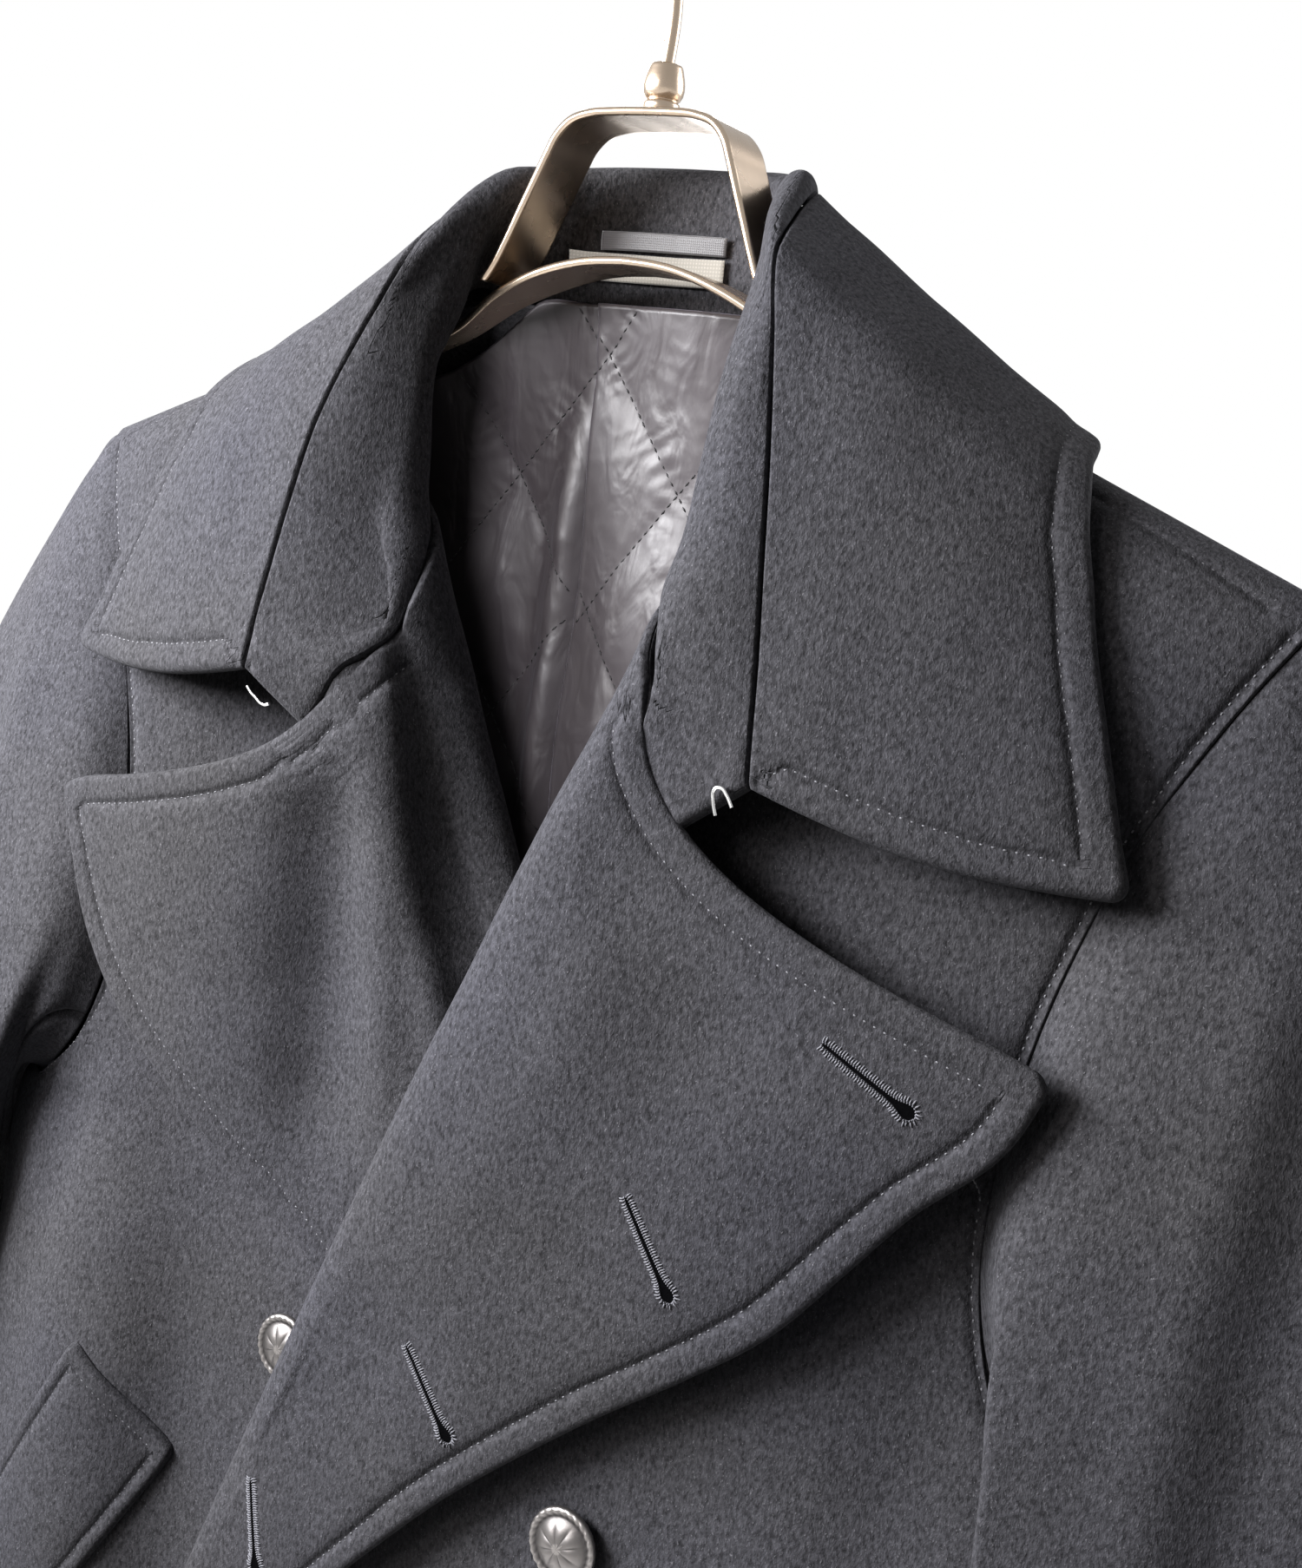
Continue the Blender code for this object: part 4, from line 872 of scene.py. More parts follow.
def grid_normals(grid, mask=None):
    """Area-weighted normals of a grid of points; mask says which points exist."""
    n = cell_cross(grid)
    if mask is not None:
        n = n * there(mask)[..., None]
    acc = np.zeros_like(grid)
    acc[:-1, :-1] += n
    acc[:-1, 1:] += n
    acc[1:, :-1] += n
    acc[1:, 1:] += n
    return unit_rows(acc)


def publish(obj, node=None, rests_on=()):
    """Hand a finished piece to the frame: it rides on the body and stands for its solid.

    A sheet of cloth, given a list of what it rests on, also states its cut; the names in the list are not
    used.
    """
    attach(obj, "root")
    if node:
        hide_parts(node)
    if rests_on:
        declare(obj)


def mesh_piece(name, verts, faces, material, smooth=True):
    mesh = bpy.data.meshes.new(name)
    mesh.from_pydata(np.asarray(verts, float).tolist(), [], faces)
    bm = bmesh.new()
    bm.from_mesh(mesh)
    bmesh.ops.recalc_face_normals(bm, faces=bm.faces)
    bm.to_mesh(mesh)
    bm.free()
    if smooth:
        mesh.shade_smooth()
    mesh.materials.append(material)
    return place_in_scene(name, mesh)


def place_in_scene(name, data):
    obj = bpy.data.objects.new(name, data)
    bpy.context.scene.collection.objects.link(obj)
    return obj


def wall(name, grid, low, high, material, side=1, mask=None, normals=None, lift=0.0, deep=0.0,
         rim=(1.1,) * 4, shown="high", both=False):
    """A sheet with two faces, low and high mm along its normals, its borders rounded.

    lift moves both faces along the normals, and deep lowers the low one further.
    rim is the mm over which the first column, last column, top and bottom round.
    Only the shown face rounds over, unless both is set.
    """
    mask = np.ones(grid.shape[:2], bool) if mask is None else mask
    normals = grid_normals(grid, mask) if normals is None else normals
    full = np.ones(mask.shape)
    for run, width in zip(edge_runs(grid, mask), rim):
        full = np.minimum(full, np.sqrt(np.maximum(1.0 - (1.0 - within(run / width)) ** 2, 0.0)))
    round_over = 0.1 + 0.9 * full
    middle = (low + high) / 2.0 if both else low if shown == "high" else high
    flip = np.array([side, 1.0, 1.0])
    faces = {}
    for word, level in (("low", low), ("high", high)):
        out = middle + (level - middle) * round_over + lift - (deep if word == "low" else 0.0)
        faces[word] = (grid + normals * out[..., None]) * flip
    count = int(mask.sum())
    number = np.full(mask.shape, -1)
    number[mask] = np.arange(count)
    ok = there(mask)
    corner = [number[:-1, :-1][ok], number[1:, :-1][ok], number[1:, 1:][ok], number[:-1, 1:][ok]]
    wide = np.pad(ok.astype(int), 1)
    over = (wide[:-1, 1:-1] + wide[1:, 1:-1]) == 1
    beside = (wide[1:-1, :-1] + wide[1:-1, 1:]) == 1
    a = np.concatenate([number[:, :-1][over], number[:-1][beside]])
    b = np.concatenate([number[:, 1:][over], number[1:][beside]])
    quads = np.concatenate([np.stack(corner, 1) + count, np.stack(corner[::-1], 1),
                            np.stack([a, b, b + count, a + count], 1)])
    verts = np.concatenate([faces["low"][mask], faces["high"][mask]]) * MM
    obj = mesh_piece(name, verts, quads.tolist(), material)
    PANELS[name] = {"obj": obj, "face": faces[shown], "mask": mask, "core": grid * flip,
                    "out": normals * flip * (1.0 if shown == "high" else -1.0), "shown": shown}
    for word, far in (("seam", SEAM_FAR), ("sewn", 0.0)):
        layer = obj.data.attributes.new(word, "FLOAT", "POINT")
        layer.data.foreach_set("value", np.full(len(obj.data.vertices), far))
    return obj


def declare(obj):
    """State the cut of a hanging sheet, measured over its own core."""
    core, mask = PANELS[obj.name]["core"] * MM, PANELS[obj.name]["mask"]
    area = float(np.linalg.norm(cell_cross(core), axis=2)[there(mask)].sum() / 2.0)
    wide = float(run_along(core, 1, mask)[:, -1].max())
    long = float(run_along(core, 0, mask)[-1].max())
    area = min(max(area, 0.301 * wide * long), wide * long)
    print("cut", obj.name, round(wide, 3), round(long, 3), round(area, 4))


def surface_of(name):
    """The visible face of a made panel as a tree to lay things on."""
    panel = PANELS[name]
    if "tree" not in panel:
        face = panel["face"]
        cols = face.shape[1]
        j, i = np.nonzero(there(panel["mask"]))
        a = j * cols + i
        quads = np.stack([a, a + cols, a + cols + 1, a + 1], 1)
        panel["tree"] = BVHTree.FromPolygons(face.reshape(-1, 3).tolist(), quads.tolist())
        panel["outward"] = panel["out"][j, i]
    return panel["tree"]


def rest_on(name, p):
    """The nearest place on a panel's visible face to p, and the normal out of it."""
    place, normal, index, _ = surface_of(name).find_nearest(Vector(p))
    normal = np.array(normal)
    return np.array(place), normal if np.dot(normal, PANELS[name]["outward"][index]) > 0.0 else -normal


def seen_from_front(name, x, z, start=-200.0):
    """Where a level line from in front meets a panel's face, and the normal to the front."""
    place, normal, _, _ = surface_of(name).ray_cast(Vector((x, start, z)), Vector((0.0, 1.0, 0.0)))
    if place is None:
        raise RuntimeError("nothing of %s lies behind x %.1f, z %.1f" % (name, x, z))
    return np.array(place), np.array(normal) * (1.0 if normal[1] < 0.0 else -1.0)


# ---- sewing -----------------------------------------------------------------
def seam_line(name, border, inset, others=()):
    """A row inset mm inside a border of a panel, laid on its visible face.

    border holds a run of points and a matching run further inside.  Points that
    come nearer than inset to another border are left out, so rows mitre.
    Returns points, normals and the way in.
    """
    edge, inside = border
    run = run_along(edge)
    want = np.arange(0.0, run[-1], 1.0)
    edge, inside = along_run(edge, run, want), along_run(inside, run, want)
    rows = []
    for p, q, t in zip(edge, inside, unit_rows(np.gradient(edge, axis=0))):
        place, normal = rest_on(name, lerp(p, q, 0.5))
        way = unit(np.cross(normal, t))
        if np.dot(way, q - p) < 0.0:
            way = -way
        place, normal = rest_on(name, p + way * inset)
        if rows and np.dot(place - rows[-1][0], t) < 0.45 * np.linalg.norm(place - rows[-1][0]) + 0.1:
            continue
        if all(np.linalg.norm(o - place, axis=1).min() > inset * 0.985 for o in others):
            rows.append((place, normal, way))
    if len(rows) < 9:
        raise RuntimeError("a sewn row of %s has no room" % name)
    points, normals, ways = (np.array(part[2:-2]) for part in zip(*rows))
    for _ in range(3):
        points[1:-1] = (points[:-2] + 2.0 * points[1:-1] + points[2:]) / 4.0
        normals[1:-1] = unit_rows(normals[:-2] + 2.0 * normals[1:-1] + normals[2:])
    return [points, normals, ways]


def coordinates(mesh):
    co = np.empty(len(mesh.vertices) * 3)
    mesh.vertices.foreach_get("co", co)
    return co.reshape(-1, 3)


def sewn_groove(name, lines, reach=8.0):
    """Record on a panel how far each point lies from its sewn rows, for the cloth's bump."""
    mesh = PANELS[name]["obj"].data
    tree = KDTree(sum(len(line[0]) for line in lines))
    where = []
    for line in lines:
        for k, p in enumerate(line[0]):
            tree.insert(Vector(p), len(where))
            where.append((line[0], line[2], k))
    tree.balance()
    seam = np.full(len(mesh.vertices), SEAM_FAR)
    sewn = np.zeros(len(mesh.vertices))
    for v, p in enumerate(coordinates(mesh) / MM):
        q, index, d = tree.find(Vector(p))
        points, ways, k = where[index]
        seam[v] = math.copysign(min(d, SEAM_FAR), np.dot(p - np.array(q), ways[k]))
        past = 0.0
        if k == 0:
            past = np.dot(p - points[0], unit(points[0] - points[1]))
        elif k == len(points) - 1:
            past = np.dot(p - points[-1], unit(points[-1] - points[-2]))
        sewn[v] = within((reach - d) / 3.0) * within(1.0 - past / 4.0)
    mesh.attributes["seam"].data.foreach_set("value", seam)
    mesh.attributes["sewn"].data.foreach_set("value", sewn)


def dip_cloth(name, depth, width=2.7):
    """Pull a panel's visible face in along its sewn rows."""
    panel = PANELS[name]
    mesh, mask, face = panel["obj"].data, panel["mask"], panel["face"]
    count = len(mesh.vertices)
    values = {word: np.empty(count) for word in ("seam", "sewn")}
    for word, value in values.items():
        mesh.attributes[word].data.foreach_get("value", value)
    part = slice(0, count // 2) if panel["shown"] == "low" else slice(count // 2, count)
    dip = np.zeros(mask.shape)
    dip[mask] = depth * np.exp(-(values["seam"][part] / width) ** 2) * values["sewn"][part]
    for _ in range(2):
        wide = np.pad(dip, 1, mode="edge")
        dip = (wide[:-2, 1:-1] + wide[2:, 1:-1] + wide[1:-1, :-2] + wide[1:-1, 2:] + 2.0 * dip) / 6.0
    face[mask] -= panel["out"][mask] * dip[mask][:, None]
    co = coordinates(mesh)
    co[part] = face[mask] * MM
    mesh.vertices.foreach_set("co", co.ravel())
    mesh.update()
    panel.pop("tree", None)


def stitch_run(points, normals, pitch, length):
    """Starts, ends and normals of the stitches of one row."""
    run = run_along(points)
    starts = np.arange(pitch * 0.3, run[-1] - length, pitch)
    a, b = along_run(points, run, starts), along_run(points, run, starts + length)
    n = along_run(normals, run, starts + length / 2.0)
    good = np.linalg.norm(b - a, axis=1) < length * 1.4
    return a[good], b[good], n[good]


def thread(name, runs, radius, material, sides=5, bow=0.25, sink=0.35, rings=4):
    """Short arched lengths of thread, from a to b over a surface of normal n."""
    a, b, n = (np.concatenate([run[k] for run in runs]) for k in range(3))
    along = b - a
    t = unit_rows(along)
    side = unit_rows(np.cross(t, n))
    up = np.cross(side, t)
    arch = np.sqrt(np.sin(math.pi * np.linspace(0.0, 1.0, rings)))
    verts = []
    for s, high in zip(np.linspace(0.0, 1.0, rings), arch):
        girth = radius * (0.45 + 0.55 * high)
        for m in range(sides):
            angle = 2.0 * math.pi * m / sides
            rise = -sink + (sink + bow) * high + girth * math.sin(angle)
            verts.append(a + along * s + up * rise + side * girth * math.cos(angle))
    verts = np.stack(verts, 1)
    one = tube_faces(rings, sides)
    faces = [[v + k * rings * sides for v in face] for k in range(len(a)) for face in one]
    return mesh_piece(name, verts.reshape(-1, 3) * MM, faces, material)


def tube_faces(rings, sides):
    """Faces of a closed tube of rings of points."""
    faces = []
    for k in range(0, (rings - 1) * sides, sides):
        for m in range(sides):
            n = k + (m + 1) % sides
            faces.append([k + m, n, n + sides, k + m + sides])
    return faces + [list(range(sides))[::-1], [(rings - 1) * sides + m for m in range(sides)]]


# ---- materials --------------------------------------------------------------
def linear(text):
    """A hex sRGB colour as linear RGBA."""
    parts = [int(text[k:k + 2], 16) / 255.0 for k in (1, 3, 5)]
    return tuple(c / 12.92 if c <= 0.04045 else ((c + 0.055) / 1.055) ** 2.4 for c in parts) + (1.0,)


def fill(tree, node, inputs):
    """Set a node's inputs, and link those that are given another node's output."""
    for key, value in inputs.items():
        if isinstance(value, bpy.types.NodeSocket):
            tree.links.new(value, node.inputs[key])
        else:
            node.inputs[key].default_value = value


def add(tree, kind, inputs=None, **settings):
    """Add a node, set its properties, and set or link its inputs."""
    made = tree.nodes.new("ShaderNode" + kind)
    for key, value in settings.items():
        setattr(made, key, value)
    fill(tree, made, inputs or {})
    return made


def blank(name, **values):
    """A new material and its node tree, its shader with these inputs, and object coordinates."""
    mat = bpy.data.materials.new(name)
    mat.use_nodes = True
    tree = mat.node_tree
    shader = tree.nodes["Principled BSDF"]
    fill(tree, shader, {key.replace("_", " "): value for key, value in values.items()})
    return mat, tree, shader, add(tree, "TexCoord").outputs["Object"]


def per_metre(size_mm):
    """Noise scale that gives features of this size."""
    return 1.0 / (size_mm * MM)


def melton_wool():
    """Fulled melton: woven wool felted till no weave shows, then raised to a short nap.

    The nap scatters light at the edges and mottles the face in tufts about 1 mm
    across; paler fibres stand in it, and the sewn rows sink into it.
    """
    look = bpy.context.scene.coat_looks
    mat, tree, shader, place = blank(
        "fulled_melton_wool", Roughness=0.92, IOR=1.45, Specular_IOR_Level=0.12, Sheen_Weight=0.06,
        Sheen_Roughness=0.4, Sheen_Tint=linear("#a8a9b0"))
    lay = add(tree, "Mapping", {"Vector": place, "Rotation": (0.0, 0.35, 0.0),
                                "Scale": (1.0, 1.0, 0.55)}).outputs["Vector"]
    tuft = add(tree, "TexNoise", {"Vector": lay, "Scale": 1.0 / look.nap_tuft,
                                  "Detail": 3.0, "Roughness": 0.6}).outputs["Fac"]
    fibre = add(tree, "TexNoise", {"Vector": lay, "Scale": 1.0 / (look.nap_tuft * 0.45),
                                   "Detail": 2.0, "Roughness": 0.7}).outputs["Fac"]
    broad = add(tree, "TexNoise", {"Vector": place, "Scale": per_metre(95.0), "Detail": 2.0}).outputs["Fac"]
    cast = add(tree, "Mix", {"Factor": broad, 6: look.wool_blue, 7: look.wool_brown},
               data_type="RGBA").outputs[2]
    shade = add(tree, "MapRange", {"Value": tuft, "From Min": 0.3, "From Max": 0.7,
                                   "To Min": 0.38, "To Max": 1.66}).outputs["Result"]
    worn = add(tree, "VectorMath", {0: cast, "Scale": shade}, operation="SCALE").outputs["Vector"]
    pale = add(tree, "MapRange", {"Value": fibre, "From Min": 0.62, "From Max": 0.74,
                                  "To Min": 0.0, "To Max": 0.55}).outputs["Result"]
    face = add(tree, "Mix", {"Factor": pale, 6: worn, 7: linear("#77767a")}, data_type="RGBA").outputs[2]
    nap = add(tree, "Math", {0: tuft, 1: fibre}, operation="ADD").outputs[0]
    felt = add(tree, "Bump", {"Height": nap, "Strength": 0.55, "Distance": 0.0006}).outputs["Normal"]
    seam = add(tree, "Attribute", attribute_name="seam").outputs["Fac"]
    sewn = add(tree, "Attribute", attribute_name="sewn").outputs["Fac"]
    square = add(tree, "Math", {0: seam, 1: seam}, operation="MULTIPLY").outputs[0]
    fall = add(tree, "Math", {0: square, 1: -0.55}, operation="MULTIPLY").outputs[0]
    dip = add(tree, "Math", {0: fall}, operation="EXPONENT").outputs[0]
    sunk = add(tree, "Math", {0: dip, 1: sewn}, operation="MULTIPLY").outputs[0]
    low = add(tree, "Math", {0: sunk, 1: -1.0}, operation="MULTIPLY").outputs[0]
    groove = add(tree, "Bump", {"Height": low, "Strength": 1.0, "Distance": 0.0008, "Normal": felt})
    fill(tree, shader, {"Base Color": face, "Normal": groove.outputs["Normal"]})
    return mat


def lining_satin():
    """Polyester satin: long floats laid one way, so it shines in soft streaks and wrinkles finely."""
    mat, tree, shader, place = blank(
        "quilted_polyester_satin", Roughness=0.45, IOR=1.5, Specular_IOR_Level=0.55, Anisotropic=0.45,
        Sheen_Weight=0.15, Sheen_Roughness=0.35, Sheen_Tint=linear("#b9b4c4"))
    lay = add(tree, "Mapping", {"Vector": place, "Rotation": (0.0, 0.3, 0.0),
                                "Scale": (1.0, 1.0, 0.45)}).outputs["Vector"]
    crinkle = add(tree, "TexNoise", {"Vector": lay, "Scale": per_metre(11.0), "Detail": 2.5,
                                     "Distortion": 0.7}).outputs["Fac"]
    tone = add(tree, "Mix", {"Factor": crinkle, 6: bpy.context.scene.coat_looks.satin,
                             7: linear("#353134")}, data_type="RGBA")
    bump = add(tree, "Bump", {"Height": crinkle, "Strength": 0.6, "Distance": 0.0022})
    floats = add(tree, "TexNoise", {"Vector": lay, "Scale": per_metre(0.9), "Detail": 1.0})
    fine = add(tree, "Bump", {"Height": floats.outputs["Fac"], "Strength": 0.15, "Distance": 0.0002,
                              "Normal": bump.outputs["Normal"]})
    fill(tree, shader, {"Base Color": tone.outputs[2], "Normal": fine.outputs["Normal"]})
    return mat


def woven_tape(name, colour, thread_mm, roughness):
    """Narrow tape, plain woven: warp and weft cross at right angles in fine ribs."""
    mat, tree, shader, place = blank(name, Roughness=roughness, Sheen_Weight=0.2)
    warp, weft = (add(tree, "TexWave", {"Vector": place, "Scale": per_metre(thread_mm) / 6.28,
                                        "Distortion": 0.3}, bands_direction=way) for way in "XZ")
    weave = add(tree, "Math", {0: warp.outputs["Fac"], 1: weft.outputs["Fac"]},
                operation="MULTIPLY").outputs[0]
    tone = add(tree, "MapRange", {"Value": weave, "To Min": 0.78, "To Max": 1.1}).outputs["Result"]
    body = add(tree, "VectorMath", {0: colour[:3], "Scale": tone}, operation="SCALE")
    bump = add(tree, "Bump", {"Height": weave, "Strength": 0.4, "Distance": 0.0002})
    fill(tree, shader, {"Base Color": body.outputs["Vector"], "Normal": bump.outputs["Normal"]})
    return mat


def satin_nickel():
    """Steel under satin nickel plate: warm and soft-edged, with faint drawing lines along it."""
    mat, tree, shader, place = blank("satin_nickel_plated_steel", Metallic=1.0)
    cloud = add(tree, "TexNoise", {"Vector": place, "Scale": per_metre(14.0), "Detail": 3.0}).outputs["Fac"]
    tone = add(tree, "Mix", {"Factor": cloud, 6: bpy.context.scene.coat_looks.nickel,
                             7: linear("#b29f8c")}, data_type="RGBA")
    rough = add(tree, "MapRange", {"Value": cloud, "To Min": 0.18, "To Max": 0.36})
    drawn = add(tree, "Mapping", {"Vector": place, "Scale": (0.06, 1.0, 1.0)})
    line = add(tree, "TexNoise", {"Vector": drawn.outputs["Vector"], "Scale": per_metre(0.5)})
    bump = add(tree, "Bump", {"Height": line.outputs["Fac"], "Strength": 0.12, "Distance": 0.0001})
    fill(tree, shader, {"Base Color": tone.outputs[2], "Roughness": rough.outputs["Result"],
                        "Normal": bump.outputs["Normal"]})
    return mat


def antiqued_pewter():
    """Die-cast pewter, blackened and rubbed back, so the recesses stay dark."""
    mat, tree, shader, place = blank("antiqued_cast_pewter", Metallic=1.0, Roughness=0.42)
    hollow = add(tree, "NewGeometry").outputs["Pointiness"]
    rubbed = add(tree, "MapRange", {"Value": hollow, "From Min": 0.45, "From Max": 0.56})
    tone = add(tree, "Mix", {"Factor": rubbed.outputs["Result"], 6: linear("#2c2a2b"),
                             7: bpy.context.scene.coat_looks.pewter}, data_type="RGBA")
    grain = add(tree, "TexNoise", {"Vector": place, "Scale": per_metre(1.2), "Detail": 4.0})
    bump = add(tree, "Bump", {"Height": grain.outputs["Fac"], "Strength": 0.2, "Distance": 0.0002})
    fill(tree, shader, {"Base Color": tone.outputs[2], "Normal": bump.outputs["Normal"]})
    return mat


def drawn_wire():
    """Bright drawn steel wire, nearly a mirror along its length."""
    mat, tree, shader, place = blank("bright_drawn_steel", Metallic=1.0, Base_Color=linear("#dcdcdc"))
    grain = add(tree, "TexNoise", {"Vector": place, "Scale": per_metre(0.6)})
    rough = add(tree, "MapRange", {"Value": grain.outputs["Fac"], "To Min": 0.1, "To Max": 0.26})
    fill(tree, shader, {"Roughness": rough.outputs["Result"]})
    return mat


def spun_thread(name, colour):
    """Twisted polyester sewing thread; its twist shows as fine slanting bars."""
    mat, tree, shader, place = blank(name, Roughness=0.6)
    twist = add(tree, "TexWave", {"Vector": place, "Scale": per_metre(0.5) / 6.28},
                bands_direction="DIAGONAL").outputs["Fac"]
    tone = add(tree, "MapRange", {"Value": twist, "To Min": 0.75, "To Max": 1.15}).outputs["Result"]
    body = add(tree, "VectorMath", {0: colour[:3], "Scale": tone}, operation="SCALE")
    fill(tree, shader, {"Base Color": body.outputs["Vector"]})
    return mat


def mottled(name, one, other, roughness, scale, detail, gloss=0.5):
    """A matt surface that wanders between two near tones."""
    mat, tree, shader, place = blank(name, Roughness=roughness, Specular_IOR_Level=gloss)
    cloud = add(tree, "TexNoise", {"Vector": place, "Scale": scale, "Detail": detail})
    tone = add(tree, "Mix", {"Factor": cloud.outputs["Fac"], 6: linear(one), 7: linear(other)},
               data_type="RGBA")
    fill(tree, shader, {"Base Color": tone.outputs[2]})
    return mat


def painted_cut_shade():
    """Painted shade for the inside of a cut buttonhole: near black, standing in for the shadow in the slit,
    where no light comes back out.
    """
    return mottled("painted_shade_in_cut", "#030304", "#0b0b0c", 1.0, per_metre(0.5), 2.0, gloss=0.0)


def painted_floor():
    """Matt pale paint on a studio floor, very slightly uneven."""
    return mottled("matt_studio_paint", "#efeeec", "#f3f2f1", 0.9, 2.0, 2.0)


def kept(make, *words):
    """One shared copy of each material."""
    key = (make.__name__,) + words
    if key not in FINISHES:
        FINISHES[key] = make(*words)
    return FINISHES[key]


# ---- what a user would change -----------------------------------------------
class CoatSizes(PropertyGroup):
    """Sewing and relief of the coat"""

    stitch_inset: FloatProperty(
        name="Topstitch Inset", description="Distance of the topstitching from an edge",
        default=0.0096, min=0.003, max=0.016, subtype="DISTANCE", unit="LENGTH")
    stitch_pitch: FloatProperty(
        name="Stitch Pitch", description="Distance from one topstitch to the next",
        default=0.00295, min=0.0015, max=0.008, subtype="DISTANCE", unit="LENGTH")
    stitch_length: FloatProperty(
        name="Stitch Length", description="Thread that shows of each topstitch",
        default=0.0016, min=0.0006, max=0.006, subtype="DISTANCE", unit="LENGTH")
    stitch_dip: FloatProperty(
        name="Stitch Dip", description="How deep a topstitched row pulls the cloth in",
        default=0.0006, min=0.0, max=0.002, subtype="DISTANCE", unit="LENGTH")
    handled: FloatProperty(
        name="Unevenness", description="Height of the slow waves of worn cloth",
        default=0.00035, min=0.0, max=0.002, subtype="DISTANCE", unit="LENGTH")
    pucker: FloatProperty(
        name="Lining Pucker", description="Height of the puckers beside the quilting rows",
        default=0.0004, min=0.0, max=0.002, subtype="DISTANCE", unit="LENGTH")
    fold_depth: FloatProperty(
        name="Fold Depth", description="Strength of the hanging folds",
        default=1.0, min=0.0, max=2.0, subtype="FACTOR")


class CoatLooks(PropertyGroup):
    """Finishes of the coat and its hanger"""

    nap_tuft: FloatProperty(
        name="Nap Tuft", description="Size of one tuft of the wool's nap",
        default=0.0011, min=0.0004, max=0.004, subtype="DISTANCE", unit="LENGTH")
    wool_blue: FloatVectorProperty(
        name="Wool, Cool", description="The wool where its dye reads blue",
        default=linear("#323238"), size=4, min=0.0, max=1.0, subtype="COLOR")
    wool_brown: FloatVectorProperty(
        name="Wool, Warm", description="The wool where its dye reads warm",
        default=linear("#343333"), size=4, min=0.0, max=1.0, subtype="COLOR")
    satin: FloatVectorProperty(
        name="Lining", description="Colour of the lining satin",
        default=linear("#322e2f"), size=4, min=0.0, max=1.0, subtype="COLOR")
    nickel: FloatVectorProperty(
        name="Hanger", description="Colour of the hanger's plating",
        default=linear("#d2c0ac"), size=4, min=0.0, max=1.0, subtype="COLOR")
    pewter: FloatVectorProperty(
        name="Buttons", description="Colour of the buttons where they are rubbed",
        default=linear("#8d8987"), size=4, min=0.0, max=1.0, subtype="COLOR")
    thread: FloatVectorProperty(
        name="Thread", description="Colour of the topstitching",
        default=linear("#606064"), size=4, min=0.0, max=1.0, subtype="COLOR")
    twist: FloatVectorProperty(
        name="Buttonhole Twist", description="Colour of the buttonholes' thread",
        default=linear("#5f5f65"), size=4, min=0.0, max=1.0, subtype="COLOR")


class CoatStage(PropertyGroup):
    """Light and floor"""

    key_power: FloatProperty(
        name="Key Light", description="Power of the soft key light",
        default=40.0, min=0.0, unit="POWER")
    fill_power: FloatProperty(
        name="Fill Light", description="Power of the soft fill light",
        default=6.0, min=0.0, unit="POWER")
    inner_power: FloatProperty(
        name="Inner Light", description="Power of the light that reaches the lining and the neck",
        default=28.0, min=0.0, unit="POWER")
    back_power: FloatProperty(
        name="Back Lights", description="Power of each of the two lights behind",
        default=26.0, min=0.0, unit="POWER")
    floor_sun: FloatProperty(
        name="Floor Light", description="Strength of the even light on the floor alone", default=3.2, min=0.0)
    surround: FloatProperty(
        name="Surround", description="Light that comes from the white surround", default=0.12, min=0.0)
    glint: FloatProperty(
        name="Surround Glint", description="How bright the surround is in a reflection", default=0.6, min=0.0)
    floor_drop: FloatProperty(
        name="Floor Drop", description="Height of the floor below the rail",
        default=-1.3, subtype="DISTANCE", unit="LENGTH")


# ---- pieces -----------------------------------------------------------------
SIDES = ((1, "left"), (-1, "right"))
SEWN_RIM = 0.9          # mm over which a sewn border of cloth rounds
CUFF_RIM = 2.4
FREE_RIM = 2.6          # and a free edge
COLLAR_RIM = 3.4        # and one of the collar, which is thicker
POINT_R = 5.5           # radius of the points of lapels and collar
WELT_R = 3.5            # and of a welt's corners


class COAT_OT_fronts(Operator):
    """Hang the two fronts, each running round its roll and under its lapel"""

    bl_idname = "coat.fronts"
    bl_label = "Fronts"

    def execute(self, context):
        for side, word in SIDES:
            grid, mask = front_dense(side)
            meet_at_side(grid, 0, 1.0)
            if side < 0:
                turned = within((np.arange(grid.shape[1]) - CHEST_POINTS) / ROLL_POINTS)
                grid = np.where(mask[..., None], sink_lapel(grid, turned), grid)
            folds = FOLDS_FRONT_LEFT if side > 0 else FOLDS_FRONT_RIGHT
            round_corner(grid[UPPER_ROWS:, CHEST_POINTS + 1:], False, True, POINT_R)
            chest = np.zeros(mask.shape)
            chest[:, :CHEST_POINTS + 1] = 1.0 - np.linspace(0.0, 1.0, CHEST_POINTS + 1) ** 8
            lift = hang(folds, grid, 90.0, 1.0 + side) * chest * from_edge(grid, 30.0, mask) ** 0.5
            obj = wall("front_cloth_" + word, grid, PLY_GAP, PLY_GAP + WOOL, kept(melton_wool), side, mask,
                       lift=lift, rim=(SEWN_RIM, FREE_RIM, SEWN_RIM, FREE_RIM))
            publish(obj, "front_" + word, ["hanger_shoulders"])
        return {"FINISHED"}


